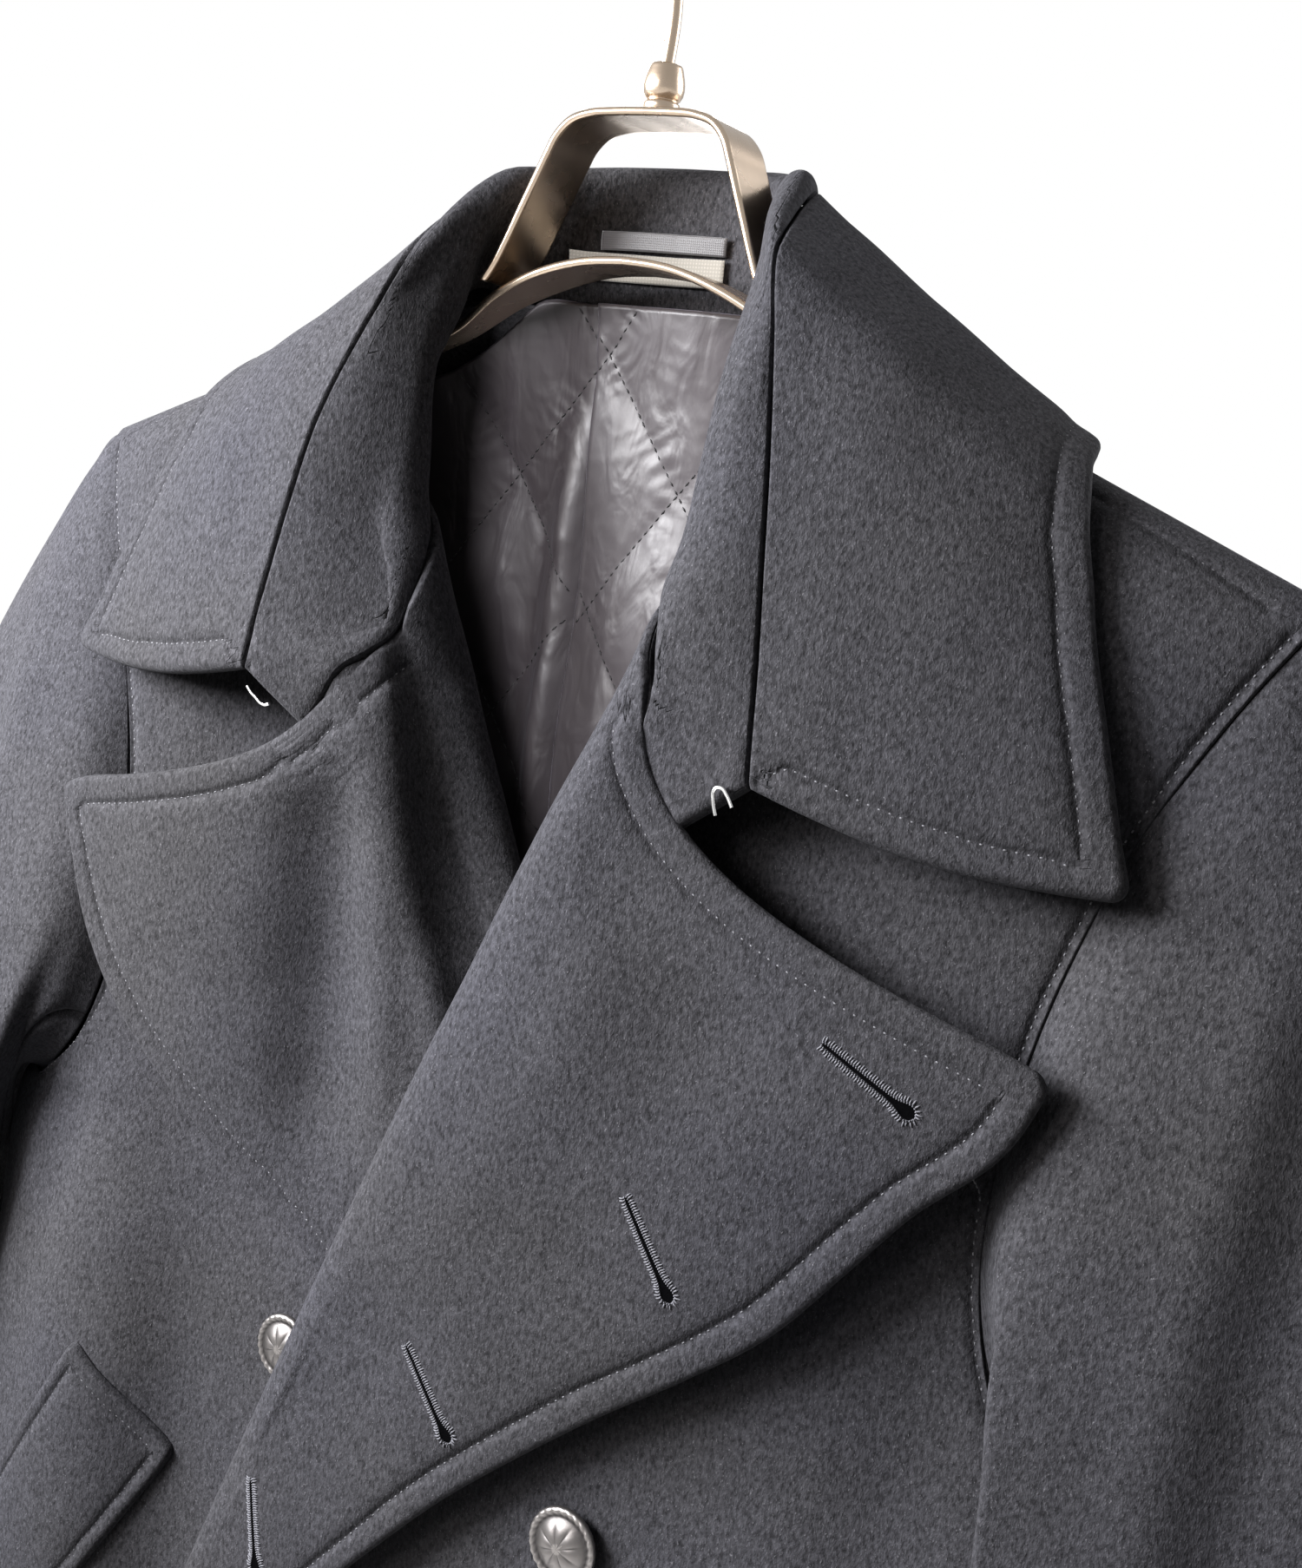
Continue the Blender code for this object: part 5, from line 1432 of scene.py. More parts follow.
class COAT_OT_facings(Operator):
    """Hang the facings, which make the face of each roll and lapel"""

    bl_idname = "coat.facings"
    bl_label = "Facings"

    def execute(self, context):
        for side, word in SIDES:
            grid = facing_dense(side)
            if side < 0:
                grid = sink_lapel(grid, within((np.arange(grid.shape[1]) - INSIDE_POINTS) / TURN_POINTS))
            round_corner(grid[:, LAPEL_FROM:], False, True, POINT_R)
            free = from_edge(grid, 26.0)
            free[:, :LAPEL_FROM + 2] = 0.0
            lift = -hang(FOLDS_LAPEL_LEFT if side > 0 else (), grid, 80.0, 3.0 + side) * free
            obj = wall("facing_cloth_" + word, grid, -PLY_GAP - WOOL, -PLY_GAP, kept(melton_wool), side,
                       lift=lift, rim=(2.0, FREE_RIM, FREE_RIM, FREE_RIM), shown="low")
            publish(obj, "facing_" + word, ["front_cloth_" + word])
        return {"FINISHED"}


class COAT_OT_back(Operator):
    """Hang the two backs, sewn down the centre"""

    bl_idname = "coat.back"
    bl_label = "Back"

    def execute(self, context):
        coarse = back_grid()
        rows = ticks(0.0, len(coarse) - 1, 110, start=0.85, end=0.9)
        cols = ticks(0.0, coarse.shape[1] - 1, 64, start=0.85, end=0.85)
        for side, word in SIDES:
            grid = refine(coarse, rows, cols)
            meet_at_side(grid, -1, -1.0)
            lift = hang(FOLDS_BACK, grid, 95.0, 5.0 + side) * from_edge(grid, 30.0)
            obj = wall("back_cloth_" + word, grid, PLY_GAP, PLY_GAP + WOOL, kept(melton_wool), side,
                       lift=lift, rim=(SEWN_RIM, SEWN_RIM, SEWN_RIM, FREE_RIM))
            publish(obj, "back_" + word, ["hanger_shoulders"])
        return {"FINISHED"}


class COAT_OT_sleeves(Operator):
    """Set in the sleeves, each of a top and an under piece"""

    bl_idname = "coat.sleeves"
    bl_label = "Sleeves"

    def execute(self, context):
        fine = 6                                # points of the smooth sleeve to a column
        under = (fine * UNDER_FROM, fine * UNDER_TO + 1)
        over = ((fine * UNDER_TO, fine * SLEEVE_COLS), (0, fine * UNDER_FROM + 1))
        for side, word in SIDES:
            coarse = sleeve_grid(side)
            seam = lerp(armhole_ring(), coarse[0], 0.12)
            coarse = np.concatenate([seam[None], coarse])
            rows = ticks(0.0, len(coarse) - 1, 124, start=0.9, end=0.9)
            closed = np.concatenate([coarse[:, -3:], coarse, coarse[:, :4]], axis=1)
            turn = np.linspace(0.0, SLEEVE_COLS, fine * SLEEVE_COLS + 1)
            whole = refine(closed, rows, turn + 3.0)
            n = grid_normals(whole)
            n[:, 0] = n[:, -1] = unit_rows(n[:, 0] + n[:, -1])
            lift = hang(FOLDS_SLEEVE, whole) * (whole[..., 1] < 20.0)
            lift += hang((), whole, 85.0, 7.0 + side)
            lift *= from_edge(whole, 40.0)
            for piece, spans in (("sleeve_under_", (under,)), ("sleeve_top_", over)):
                grid, out, high = (np.concatenate([a[:, p:q] for p, q in spans], axis=1)
                                   for a in (whole, n, lift[..., None]))
                grid[:, 0] += unit_rows(grid[:, 1] - grid[:, 0]) * SEAM_GAP * 0.4
                grid[:, -1] += unit_rows(grid[:, -2] - grid[:, -1]) * SEAM_GAP * 0.4
                obj = wall(piece + "cloth_" + word, grid, -WOOL / 2, WOOL / 2, kept(melton_wool), side,
                           normals=out, lift=high[..., 0], rim=(SEWN_RIM, SEWN_RIM, SEWN_RIM, CUFF_RIM))
                publish(obj, piece + word, ["front_cloth_" + word])
        return {"FINISHED"}


class COAT_OT_collar(Operator):
    """Turn the collar: a stand round the neck and a fall over it, joined by a seam"""

    bl_idname = "coat.collar"
    bl_label = "Collar"

    def execute(self, context):
        core = stand_core()
        grids = {"stand": stand_grid(core), "fall": fall_grid(core)}
        for grid in grids.values():
            grid[:, 0] = core[:, 0] + unit_rows(grid[:, 1] - core[:, 0]) * 0.12
        grids["stand"][:, -1] = core[:, -1] + unit_rows(core[:, -2] - core[:, -1]) * 0.4
        rows = ticks(0.0, len(core) - 1, 210, start=0.85, end=0.85)
        for word, coarse in grids.items():
            cols = ticks(0.0, coarse.shape[1] - 1, 52, start=0.85, end=0.85)
            grids[word] = refine(coarse, rows, cols)
        for bottom in (False, True):
            round_corner(grids["fall"], bottom, True, POINT_R)
        normals = {word: grid_normals(grid) for word, grid in grids.items()}
        for a, b in zip(normals["stand"], normals["fall"]):
            mitre = unit(a[0] - b[0])
            for k in range(10):
                share = (1.0 - k / 10.0) * 0.7
                a[k] = unit(lerp(a[k], mitre, share))
                b[k] = unit(lerp(b[k], -mitre, share))
        for word, outer_rim, shown in (("stand", SEWN_RIM, "high"), ("fall", COLLAR_RIM, "low")):
            grid = grids[word]
            lift = hang((), grid, 70.0, 11.0) * from_edge(grid, 24.0)
            obj = wall("collar_%s_cloth" % word, grid, -COLLAR_HALF, COLLAR_HALF, kept(melton_wool),
                       lift=lift, normals=normals[word],
                       rim=(SEWN_RIM, outer_rim, COLLAR_RIM, COLLAR_RIM), shown=shown)
            publish(obj, "collar_" + word, ["back_cloth_left", "back_cloth_right"])
        return {"FINISHED"}


class COAT_OT_welts(Operator):
    """Lay the slanting pocket welts on the fronts"""

    bl_idname = "coat.welts"
    bl_label = "Pocket Welts"

    def execute(self, context):
        corner = np.array([151.0, 0.0, -521.0])         # its upper outer corner, and the ways it runs
        down = unit(np.array([40.0, 0.0, -76.0])) * WELT_L
        across = unit(np.array([-41.0, 0.0, -32.0])) * WELT_W
        for side, word in SIDES:
            spots = [[corner + down * v + across * u for u in ticks(0.0, 1.0, 26, start=0.85, end=0.85)]
                     for v in ticks(0.0, 1.0, 60, start=0.85, end=0.85)]
            grid = np.array([[seen_from_front("front_cloth_" + word, p[0] * side, p[2])[0] for p in row]
                             for row in spots]) * [side, 1.0, 1.0]
            for bottom in (False, True):
                for last in (False, True):
                    round_corner(grid, bottom, last, WELT_R)
            n = grid_normals(grid)
            n = n * -np.sign(n[..., 1:2])
            obj = wall("welt_cloth_" + word, grid + n * WELT_GAP, 0.0, WELT_THICK, kept(melton_wool), side,
                       normals=n, rim=(FREE_RIM,) * 4)
            publish(obj, "pocket_welt_" + word, ["front_cloth_" + word])
        return {"FINISHED"}


class COAT_OT_lining(Operator):
    """Hang the quilted back lining, with its ease pleat and the quilting thread"""

    bl_idname = "coat.lining"
    bl_label = "Quilted Lining"

    def execute(self, context):
        for side, word in SIDES:
            coarse = lining_grid(side)
            rows = np.concatenate([ticks(0.0, 9.0, 170, start=0.5)[:-1],
                                   ticks(9.0, len(coarse) - 1, 36, end=0.8)])
            grid = refine(coarse, rows, ticks(0.0, coarse.shape[1] - 1, 94, start=0.62))
            x, z = grid[..., 0], grid[..., 2]
            low = within((z + 850.0) / 70.0)        # the padding thins out toward the hem
            top = within(1.0 - (z[:1] - z) / 30.0)
            tuck = 6.0 * top * within((80.0 - np.abs(x)) / 30.0)    # and goes up under the collar
            puff = PUFF * self.relief(x, z, side, context.scene.coat_sizes.pucker / MM) * low
            slit = within((z + 560.0) / 160.0) * within((-176.0 - z) / 40.0)    # where the pleat gapes
            if side < 0:
                puff *= within((x - 22.0) / 8.0)
                puff += 4.6 * np.exp(-((x - 31.0) / 5.5) ** 2) * slit
                ease = 2.6 * within((27.0 - x) / 4.0)
            else:
                ease = 3.2 * within((-8.0 - x) / 14.0) * slit
            grid[..., 2] += tuck
            obj = wall("lining_satin_" + word, grid, LINING_BACK, LINING_FACE, kept(lining_satin), side,
                       lift=ease, deep=puff, rim=(1.0,) * 4, shown="low", both=True)
            publish(obj, "lining_back_" + word, ["back_cloth_" + word])
            self.quilt(side, word)
        return {"FINISHED"}

    def relief(self, x, z, side, pucker):
        """Height of the padding over its sewn rows, puckers along them and crinkles between."""
        u = (x - QUILT_X[side]) / DIAMOND_W
        v = (z - QUILT_Z) / DIAMOND_H
        apart = 1.0 / math.hypot(1.0 / DIAMOND_W, 1.0 / DIAMOND_H)
        total = np.ones_like(x)
        pull = np.zeros_like(x)
        for n, slope in enumerate((1.0, -1.0)):
            phase = u + slope * v
            off = np.abs(phase - np.round(phase)) * apart
            total *= within(off / (0.5 * apart)) ** 0.42
            along = (x * DIAMOND_W - slope * z * DIAMOND_H) / 100.0
            wave = np.sin(along * 1.25 + 1.6 * np.sin(along * 0.31 + n) + 3.0 * np.round(phase))
            wave *= 0.55 + 0.45 * np.sin(along * 0.17 + 2.0 * n + side)
            pull += wave * np.exp(-(off / 5.0) ** 2) * within(off / 1.2)
        flat = np.stack([x, np.zeros_like(x), z], -1)
        crinkle = np.zeros_like(x)
        for k, length in enumerate((62.0, 41.0, 30.0)):
            crinkle += (1.0 - np.abs(ripple(flat, length, 21.0 + 3.0 * k + side))) ** 3 * (0.5 - 0.12 * k)
        crinkle *= 0.55 + 0.45 * within((z + 300.0) / 120.0)
        return total + pucker * (pull * 0.3 + crinkle * 0.42 * within(total * 1.6))

    def quilt(self, side, word):
        """Run the dark quilting thread along the diamonds' edges, in stitches about 3 mm apart."""
        tree = surface_of("lining_satin_" + word)
        inner = 26.0 if side < 0 else -26.0
        u = np.array([-6.0, 8.0])
        runs = []
        for n, slope in ((n, slope) for n in range(-14, 15) for slope in (1.0, -1.0)):
            xs = QUILT_X[side] + u * DIAMOND_W
            zs = QUILT_Z + (n - u) * slope * DIAMOND_H
            count = int(math.hypot(xs[1] - xs[0], zs[1] - zs[0]) / 3.0)
            for k in range(count):
                ends = []
                for f in (k / count, (k + 0.68) / count):
                    x, z = lerp(xs[0], xs[1], f), lerp(zs[0], zs[1], f)
                    if not (inner <= x <= 240.0 and -850.0 <= z <= -128.0):
                        break
                    place, normal, _, _ = tree.ray_cast(Vector((x * side, -60.0, z)), Vector((0.0, 1.0, 0.0)))
                    if place is None or abs(normal[1]) < 0.3:
                        break
                    ends.append(np.array(place))
                if len(ends) == 2 and np.linalg.norm(ends[1] - ends[0]) < 4.5:
                    runs.append((ends[0], ends[1], np.array([0.0, -1.0, 0.0])))
        dark = kept(spun_thread, "dark_quilting_thread", linear("#0f0e0f"))
        publish(thread("quilting_thread_" + word, [[np.array(part) for part in zip(*runs)]],
                       QUILTING_R, dark, sides=4, bow=0.2, sink=0.1, rings=3))


def neck_band(name, x0, x1, top, bottom, clear, bow, material, node, thick=0.45):
    """A flat strip across the inside of the stand, bowed away from it in the middle."""
    places = [(lerp(x0, x1, u), clear + bow * math.sin(math.pi * u)) for u in np.linspace(0.0, 1.0, 61)]
    grid = np.array([[(x, stand_inside(x, z) - off, z) for x, off in places] for z in ticks(bottom, top, 16)])
    publish(wall(name, grid, -thick, thick, material, rim=(0.4,) * 4, both=True), node)


class COAT_OT_neck_trim(Operator):
    """Sew the plain neck tape and the hanging loop inside the stand"""

    bl_idname = "coat.neck_trim"
    bl_label = "Neck Tape and Loop"

    def execute(self, context):
        tape = kept(woven_tape, "plain_woven_cotton_tape", linear("#6e6a62"), 0.55, 0.85)
        ribbon = kept(woven_tape, "black_satin_ribbon", linear("#2a2829"), 0.35, 0.5)
        neck_band("neck_tape_woven", -38.0, 17.0, -126.0, -134.5, 3.3, 0.0, tape, "neck_tape")
        neck_band("hanging_loop_satin", -28.0, 17.0, -119.5, -125.2, 3.0, 2.5, ribbon, "hanging_loop")
        return {"FINISHED"}


def turned_solid(name, centre, axis, profile, sides, material, relief=None):
    """A solid turned from a half profile; relief adds height by radius, height and angle."""
    axis = unit(axis)
    spare = np.array([0.0, 0.0, 1.0]) if abs(axis[2]) < 0.9 else np.array([0.0, 1.0, 0.0])
    right = unit(np.cross(axis, spare))
    up = np.cross(right, axis)
    verts = []
    for r, h in profile:
        for k in range(sides):
            a = 2.0 * math.pi * k / sides
            extra = relief(r, h, a) if relief else 0.0
            out = (right * math.cos(a) + up * math.sin(a)) * max(r, 0.001)
            verts.append(centre + axis * (h + extra) + out)
    return mesh_piece(name, np.array(verts) * MM, tube_faces(len(profile), sides), material)


def button_relief(r, h, a):
    """A rope round the rim and eight plain petals inside it."""
    if h < 2.8:
        return 0.0
    rope = 0.28 * math.exp(-((r - 10.3) / 0.8) ** 2) * math.sin(26.0 * a + r * 2.0)
    petal = 0.45 * math.exp(-((r - 4.6) / 2.2) ** 2) * (abs(math.cos(4.0 * a)) ** 0.7 - 0.5)
    return rope + petal


class COAT_OT_buttons(Operator):
    """Set the six cast shank buttons"""

    bl_idname = "coat.buttons"
    bl_label = "Buttons"

    def execute(self, context):
        for side, word in SIDES:
            for n in (1, 2, 3):
                node = "button_%s_%d" % (word, n)
                middle = np.mean(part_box(node), axis=0) / MM
                place, normal = seen_from_front("front_cloth_" + word, middle[0], middle[2])
                obj = turned_solid("shank_" + node, place + normal * 0.2, normal, BUTTON_FACE, 96,
                                   kept(antiqued_pewter), button_relief)
                publish(obj, node)
        return {"FINISHED"}


def border(name, edge, inner=12):
    """A panel's border and the run of points a few cells inside it: first or last column, top, bottom."""
    face = PANELS[name]["face"]
    across = min(inner, face.shape[1] // 3)
    return {"first": (face[:, 0], face[:, across]), "last": (face[:, -1], face[:, -1 - across]),
            "top": (face[0], face[inner]), "bottom": (face[-1], face[-1 - inner])}[edge]


class COAT_OT_topstitching(Operator):
    """Sew the topstitched rows and sink them into the cloth"""

    bl_idname = "coat.topstitching"
    bl_label = "Topstitching"

    def execute(self, context):
        inset = context.scene.coat_sizes.stitch_inset / MM
        for _, word in SIDES:
            name = "facing_cloth_" + word
            face = PANELS[name]["face"]
            self.sew(name, "lapel_" + word, inset, [(face[0, LAPEL_FROM:], face[14, LAPEL_FROM:]),
                                                    border(name, "last")])
            name = "front_cloth_" + word
            face = PANELS[name]["face"]
            upper = face[face[:, 0, 2] > UNDERARM_Z + 10.0]
            self.sew(name, "front_" + word, inset, [(face[0, :CHEST_POINTS + 1], face[10, :CHEST_POINTS + 1]),
                                                    (upper[:, 0], upper[:, 10])])
            name = "welt_cloth_" + word
            self.sew(name, "welt_" + word, 6.0, [border(name, e) for e in ("first", "last", "top", "bottom")])
        name = "collar_fall_cloth"
        outer, *ends = (border(name, e) for e in ("last", "top", "bottom"))
        self.sew(name, "fall", inset, [outer] + ends)
        name = "collar_stand_cloth"
        self.sew(name, "stand", 2.6, [border(name, "first"), border(name, "last")])
        return {"FINISHED"}

    def sew(self, panel, word, inset, edges):
        """Sew a row inside each of these edges of a panel; the rows stop where they meet."""
        size = bpy.context.scene.coat_sizes
        lines = [seam_line(panel, e, inset, [o[0] for o in edges if o is not e]) for e in edges]
        dip, pitch, length = (v / MM for v in (size.stitch_dip, size.stitch_pitch, size.stitch_length))
        sewn_groove(panel, lines)
        dip_cloth(panel, dip)
        runs = [stitch_run(points - normals * dip, normals, pitch, length) for points, normals, _ in lines]
        spun = kept(spun_thread, "topstitching_thread", tuple(bpy.context.scene.coat_looks.thread))
        publish(thread("topstitching_" + word, runs, STITCH_R, spun, bow=0.02, sink=0.5))


class COAT_OT_buttonholes(Operator):
    """Work the keyhole buttonholes in the left lapel"""

    bl_idname = "coat.buttonholes"
    bl_label = "Buttonholes"

    def execute(self, context):
        teeth = []
        beads = []
        slits = []
        for bar, eye in KEYHOLES:
            start, _ = seen_from_front("facing_cloth_left", bar[0], bar[1], -120.0)
            end, out = seen_from_front("facing_cloth_left", eye[0], eye[1], -120.0)
            along = unit(end - start)
            rim = self.outline(start, along, unit(np.cross(out, along)), np.linalg.norm(end - start))
            slits.append((rim, out))
            loop = np.concatenate([rim, rim[:1]])
            run = run_along(loop)
            for n, s in enumerate(np.arange(0.2, run[-1] - 0.2, 0.74)):
                p, q = (along_run(loop, run, w) for w in (s, s + 0.3))
                on = unit(q - p)
                way = unit(np.cross(out, q - p))
                tip = p + way * (2.15 + 0.3 * math.sin(n * 2.4)) + on * 0.2
                knot = p + way * 0.3
                teeth.append((self.settle(p, out, 0.0), self.settle(tip, out, -0.12), out))
                beads.append((self.settle(knot, out, 0.05), self.settle(knot + on * 0.5, out, 0.05), out))
        twist = kept(spun_thread, "buttonhole_twist", tuple(context.scene.coat_looks.twist))
        for name, rows, radius in (("buttonhole_teeth", teeth, TOOTH_R), ("buttonhole_purl", beads, PURL_R)):
            run = [np.array(part) for part in zip(*rows)]
            publish(thread(name, [run], radius, twist, bow=0.3, sink=0.1))
        self.gaps(slits)
        return {"FINISHED"}

    def settle(self, p, out, above):
        return rest_on("facing_cloth_left", p)[0] + out * above

    def outline(self, start, along, across, length):
        """The cut's rim: a narrow slit that opens into a tear-shaped eyelet."""
        table = ((0.0, 0.0), (0.05, 0.42), (length - 8.0, 0.62), (length - 5.6, 0.95), (length - 3.6, 1.65),
                 (length - 2.1, 2.0), (length - 1.0, 1.6), (length - 0.2, 0.75), (length, 0.0))
        s = np.concatenate([np.linspace(0.0, length - 7.0, 16)[:-1], np.linspace(length - 7.0, length, 15)])
        half = np.interp(s, *zip(*table))
        top = [start + along * a + across * h for a, h in zip(s, half)]
        low = [start + along * a - across * h for a, h in zip(s[-2:0:-1], half[-2:0:-1])]
        return np.array(top + low)

    def gaps(self, slits):
        """Each cut's inside, filled with a near-black sheet of painted shade."""
        verts = []
        faces = []
        for rim, out in slits:
            base = len(verts)
            n = len(rim)
            for p in rim:
                verts += [self.settle(p, out, 0.06), self.settle(p, out, -0.5)]
            for k in range(n):
                a, b = base + 2 * k, base + 2 * ((k + 1) % n)
                faces.append([a, b, b + 1, a + 1])
            for k in range(n // 2):
                a, b = base + 2 * k, base + 2 * ((n - k) % n)
                c, d = base + 2 * (n - k - 1), base + 2 * (k + 1)
                ring = [a, d, c, b] if k and d != c else [a, d, c] if d != c else [a, d, b]
                faces += [ring, [v + 1 for v in ring[::-1]]]
        # near-black painted shade in each cut, standing in for the shadow inside the slit
        obj = mesh_piece("buttonhole_cut_shade", np.array(verts) * MM, faces, kept(painted_cut_shade), smooth=False)
        publish(obj)


def wire_piece(name, points, radius, material, node, level=6):
    """A round wire along a smooth way through points."""
    way = even(points, 5 * len(points))
    curve = bpy.data.curves.new(name, "CURVE")
    curve.dimensions = "3D"
    curve.bevel_depth = radius * MM
    curve.bevel_resolution = level
    curve.use_fill_caps = True
    line = curve.splines.new("POLY")
    line.points.add(len(way) - 1)
    for point, p in zip(line.points, way * MM):
        point.co = (*p, 1.0)
    curve.materials.append(material)
    publish(place_in_scene(name, curve), node)


class COAT_OT_hook_and_eye(Operator):
    """Bend the collar's wire hook and eye"""

    bl_idname = "coat.hook_and_eye"
    bl_label = "Hook and Eye"

    def execute(self, context):
        wire_piece("collar_wire_hook", COLLAR_HOOK, WIRE_R, kept(drawn_wire), "collar_hook")
        wire_piece("collar_wire_eye", COLLAR_EYE, WIRE_R, kept(drawn_wire), "collar_eye")
        return {"FINISHED"}


class COAT_OT_hanger(Operator):
    """Make the metal hanger: hook, ferrule, head and shoulder strip"""

    bl_idname = "coat.hanger"
    bl_label = "Hanger"

    def execute(self, context):
        metal = kept(satin_nickel)
        half = np.array(HEAD)
        head = np.concatenate([half[::-1], (half * [-1.0, 1.0])[1:]])
        coarse = np.array([[(x, y, z) for x, z in head] for y in (-HEAD_DEPTH / 2, 0.0, HEAD_DEPTH / 2)])
        grid = refine(coarse, ticks(0.0, 2.0, 22, start=0.8, end=0.8), np.linspace(0.0, len(head) - 1, 160))
        obj = wall("hanger_head_strip", grid, -HEAD_HALF, HEAD_HALF, metal, rim=(1.0,) * 4, both=True)
        publish(obj, "hanger_head")
        arc = even(ARC, 90)
        tops = [(-x, z, d) for x, z, d in arc[:0:-1]] + [tuple(p) for p in arc]
        grid = np.array([[(x, s * d / 2.0, z - 1.4) for x, z, d in tops]
                         for s in ticks(-1.0, 1.0, 22, start=0.8, end=0.8)])
        publish(wall("hanger_shoulder_strip", grid, -STRIP_HALF, STRIP_HALF, metal, both=True),
                "hanger_shoulders")
        up = np.array([0.0, 0.0, 1.0])
        obj = turned_solid("hanger_ferrule_turned", np.zeros(3), up, even(FERRULE, 46), 72, metal)
        publish(obj, "hanger_ferrule")
        wire = [(x, 0.0, z) for x, z in HOOK_NECK]
        for degrees in range(225, -31, -15):
            a = math.radians(degrees)
            wire.append((HOOK_R * math.cos(a), 0.0, HOOK_WIRE / 2.0 - HOOK_R + HOOK_R * math.sin(a)))
        wire_piece("hanger_wire_hook", wire, HOOK_WIRE / 2.0, metal, "hanger_hook", 10)
        return {"FINISHED"}


# ---- stage ------------------------------------------------------------------
INSIDE_PIECES = ("lining_satin_left", "lining_satin_right", "quilting_thread_left", "quilting_thread_right",
                 "neck_tape_woven", "hanging_loop_satin", "back_cloth_left", "back_cloth_right")
VIEW_FROM = (0.294, -0.444, -0.1965)            # of the camera, m
VIEW_TURN = (30.8, -9.5, 8.2)                   # degrees: round to the coat's left, up, and tipped
VIEW_LENS = 36.0 * 2000.0 / 1806.0              # mm, for a 36 mm sensor


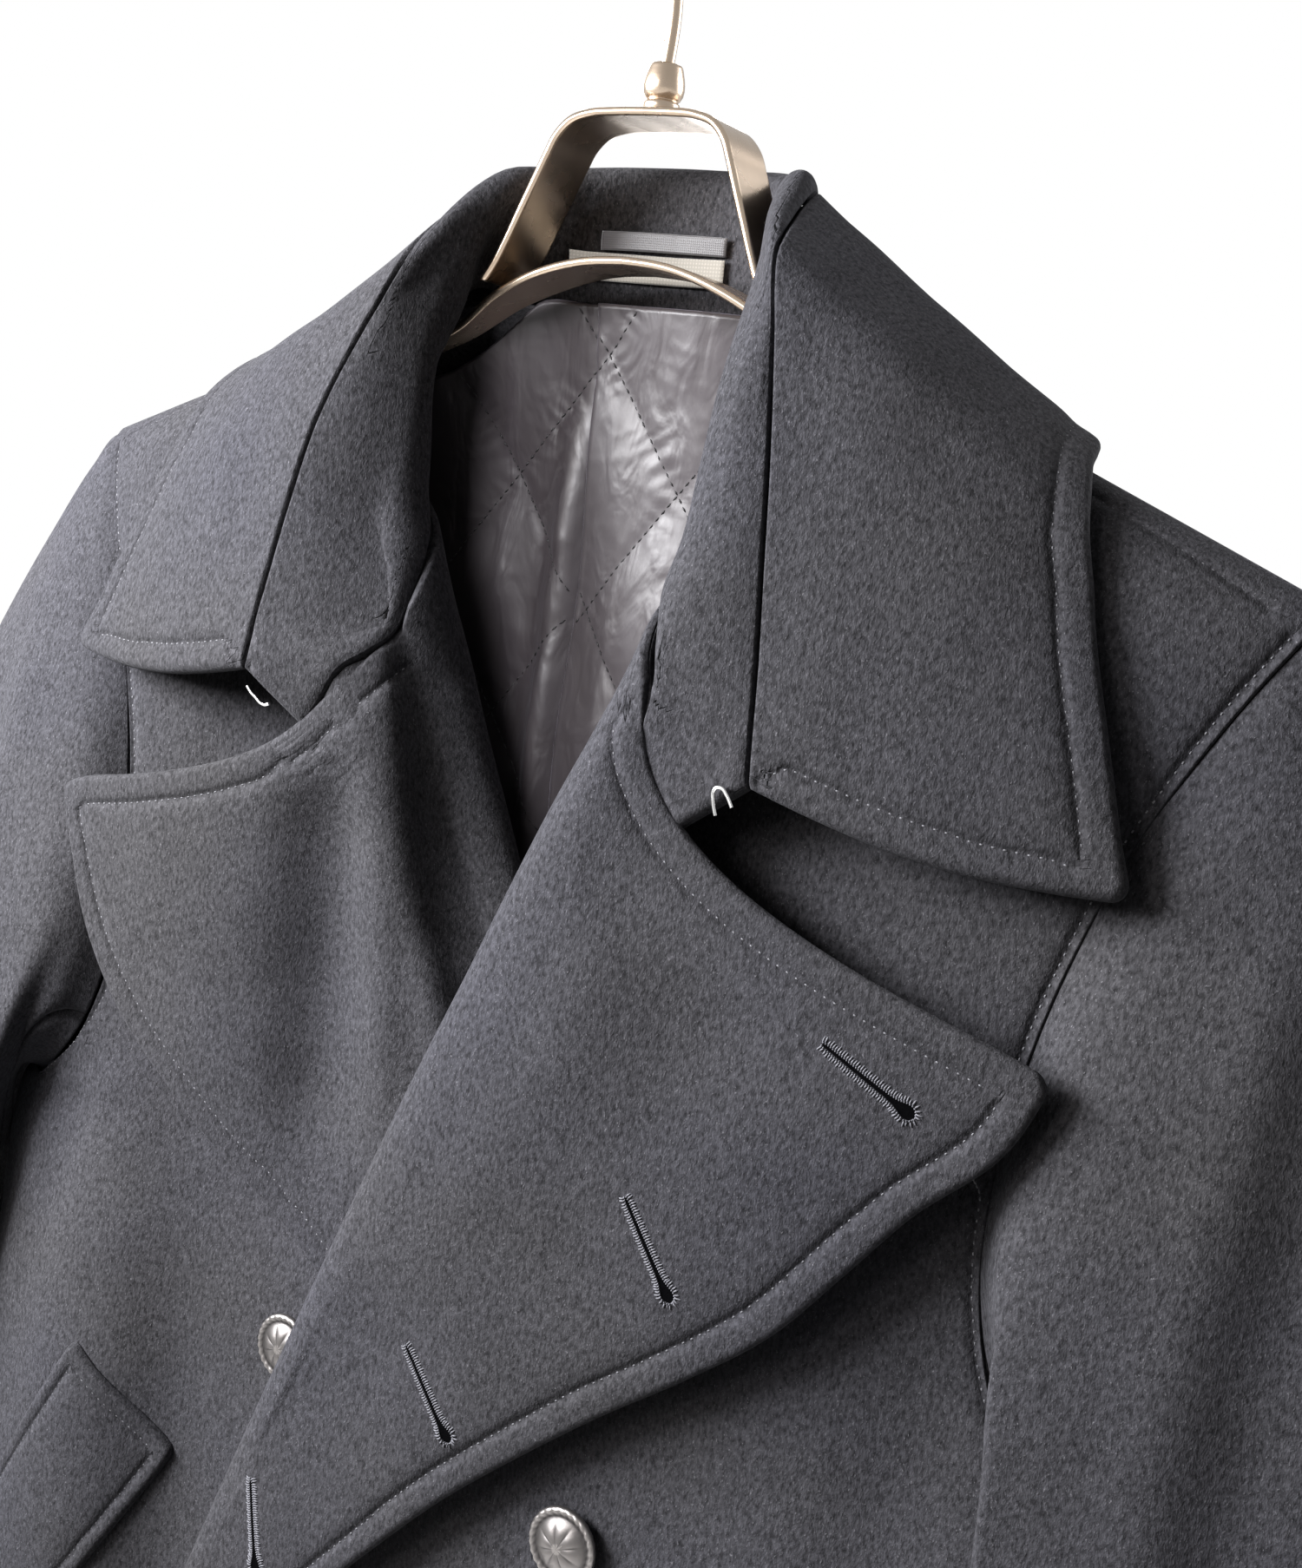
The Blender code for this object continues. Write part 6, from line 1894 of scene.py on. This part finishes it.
class COAT_OT_stage(Operator):
    """Set the floor, the soft lights and the camera"""

    bl_idname = "coat.stage"
    bl_label = "Stage"

    def execute(self, context):
        stage = context.scene.coat_stage
        floor = self.floor(stage.floor_drop)
        world = bpy.data.worlds.new("white_surround")
        world.use_nodes = True
        tree = world.node_tree
        rays = add(tree, "LightPath").outputs
        glint = add(tree, "MapRange", {"Value": rays["Is Glossy Ray"], "To Min": stage.surround,
                                       "To Max": stage.glint}).outputs["Result"]
        strength = add(tree, "MapRange", {"Value": rays["Is Camera Ray"], "To Min": glint, "To Max": 1.0})
        fill(tree, tree.nodes["Background"], {"Color": (1.0, 1.0, 1.0, 1.0),
                                              "Strength": strength.outputs["Result"]})
        context.scene.world = world
        context.scene.view_settings.view_transform = "Standard"
        self.lamp("key_light", (-0.6, -0.53, 0.0), (0.0, -0.03, -0.32), (0.6, 0.34),
                  stage.key_power, (0.97, 0.975, 1.0))
        self.lamp("fill_light", (-0.32, -1.25, 0.15), (0.0, 0.0, -0.28), (0.5, 0.5),
                  stage.fill_power, (1.0, 0.95, 0.92))
        inside = self.lamp("inner_light", (0.22, -1.1, 0.2), (-0.01, 0.02, -0.26), (0.35, 0.35),
                           stage.inner_power, (0.98, 0.97, 1.0))
        self.only(inside, INSIDE_PIECES)
        for side, word in SIDES:
            self.lamp("back_light_" + word, (1.15 * side, 1.15, 0.25), (0.0, 0.0, -0.45), (1.0, 1.2),
                      stage.back_power, (0.98, 0.98, 1.0))
        sun = bpy.data.lights.new("floor_light", "SUN")
        sun.energy = stage.floor_sun
        sun.angle = 0.6
        self.only(place_in_scene("floor_light", sun), [floor.name])
        floor.visible_diffuse = False
        self.camera(context)
        return {"FINISHED"}

    def only(self, lamp, names):
        """Let a light reach these objects alone."""
        lit = bpy.data.collections.new(lamp.name + "_reaches")
        for name in names:
            lit.objects.link(bpy.data.objects[name])
        lamp.light_linking.receiver_collection = lit

    def floor(self, drop):
        """A round floor, far wider than the coat, a little lower than its hem."""
        turns = [2.0 * math.pi * k / 96 for k in range(96)]
        rings = (0.0, 0.6, 2.0, 5.0, 9.0)
        verts = [(r * math.cos(a), r * math.sin(a), drop) for r in rings for a in turns]
        return mesh_piece("studio_floor", verts, tube_faces(len(rings), 96)[:-2], painted_floor())

    def lamp(self, name, place, aim, size, watts, tint):
        data = bpy.data.lights.new(name, "AREA")
        data.shape = "RECTANGLE"
        data.size, data.size_y = size
        data.energy = watts
        data.color = tint
        obj = place_in_scene(name, data)
        obj.location = place
        obj.rotation_euler = (Vector(aim) - Vector(place)).to_track_quat("-Z", "Y").to_euler()
        return obj

    def camera(self, context):
        """A handheld view from the wearer's left, tipped a little."""
        azimuth, pitch, tip = (math.radians(a) for a in VIEW_TURN)
        look = np.array([-math.sin(azimuth) * math.cos(pitch), math.cos(azimuth) * math.cos(pitch),
                         math.sin(pitch)])
        level = np.array([math.cos(azimuth), math.sin(azimuth), 0.0])
        right = math.cos(tip) * level - math.sin(tip) * np.cross(look, level)
        down = np.cross(look, right)
        data = bpy.data.cameras.new("view")
        data.sensor_width = 36.0
        data.lens = VIEW_LENS
        data.clip_start = 0.02
        obj = place_in_scene("view", data)
        turn = list(zip(right, -down, -look, VIEW_FROM))
        obj.matrix_world = Matrix(turn + [(0.0, 0.0, 0.0, 1.0)])
        context.scene.camera = obj


STEPS = (
    COAT_OT_hanger, COAT_OT_fronts, COAT_OT_facings, COAT_OT_back, COAT_OT_sleeves,
    COAT_OT_collar, COAT_OT_welts, COAT_OT_lining, COAT_OT_neck_trim, COAT_OT_buttons,
    COAT_OT_topstitching, COAT_OT_buttonholes, COAT_OT_hook_and_eye, COAT_OT_stage,
)


class COAT_PT_panel(Panel):
    """Sizes, finishes and steps of the coat"""

    bl_idname = "COAT_PT_panel"
    bl_label = "Pea Coat"
    bl_space_type = "VIEW_3D"
    bl_region_type = "UI"
    bl_category = "Pea Coat"

    def draw(self, context):
        scene = context.scene
        for title, group in (("Sizes", scene.coat_sizes), ("Finishes", scene.coat_looks),
                             ("Stage", scene.coat_stage)):
            box = self.layout.box()
            box.label(text=title)
            for key in group.bl_rna.properties.keys():
                if key not in ("rna_type", "name"):
                    box.prop(group, key)
        for step in STEPS:
            self.layout.operator(step.bl_idname)


CLASSES = (CoatSizes, CoatLooks, CoatStage) + STEPS + (COAT_PT_panel,)


def register():
    for cls in CLASSES:
        bpy.utils.register_class(cls)
    bpy.types.Scene.coat_sizes = PointerProperty(type=CoatSizes)
    bpy.types.Scene.coat_looks = PointerProperty(type=CoatLooks)
    bpy.types.Scene.coat_stage = PointerProperty(type=CoatStage)


def unregister():
    del bpy.types.Scene.coat_stage
    del bpy.types.Scene.coat_looks
    del bpy.types.Scene.coat_sizes
    for cls in reversed(CLASSES):
        bpy.utils.unregister_class(cls)


def main():
    register()
    coat = bpy.ops.coat
    coat.hanger()
    coat.fronts()
    coat.facings()
    coat.back()
    coat.sleeves()
    coat.collar()
    coat.welts()
    coat.lining()
    coat.neck_trim()
    coat.buttons()
    coat.topstitching()
    coat.buttonholes()
    coat.hook_and_eye()
    coat.stage()


if __name__ == "__main__":
    main()
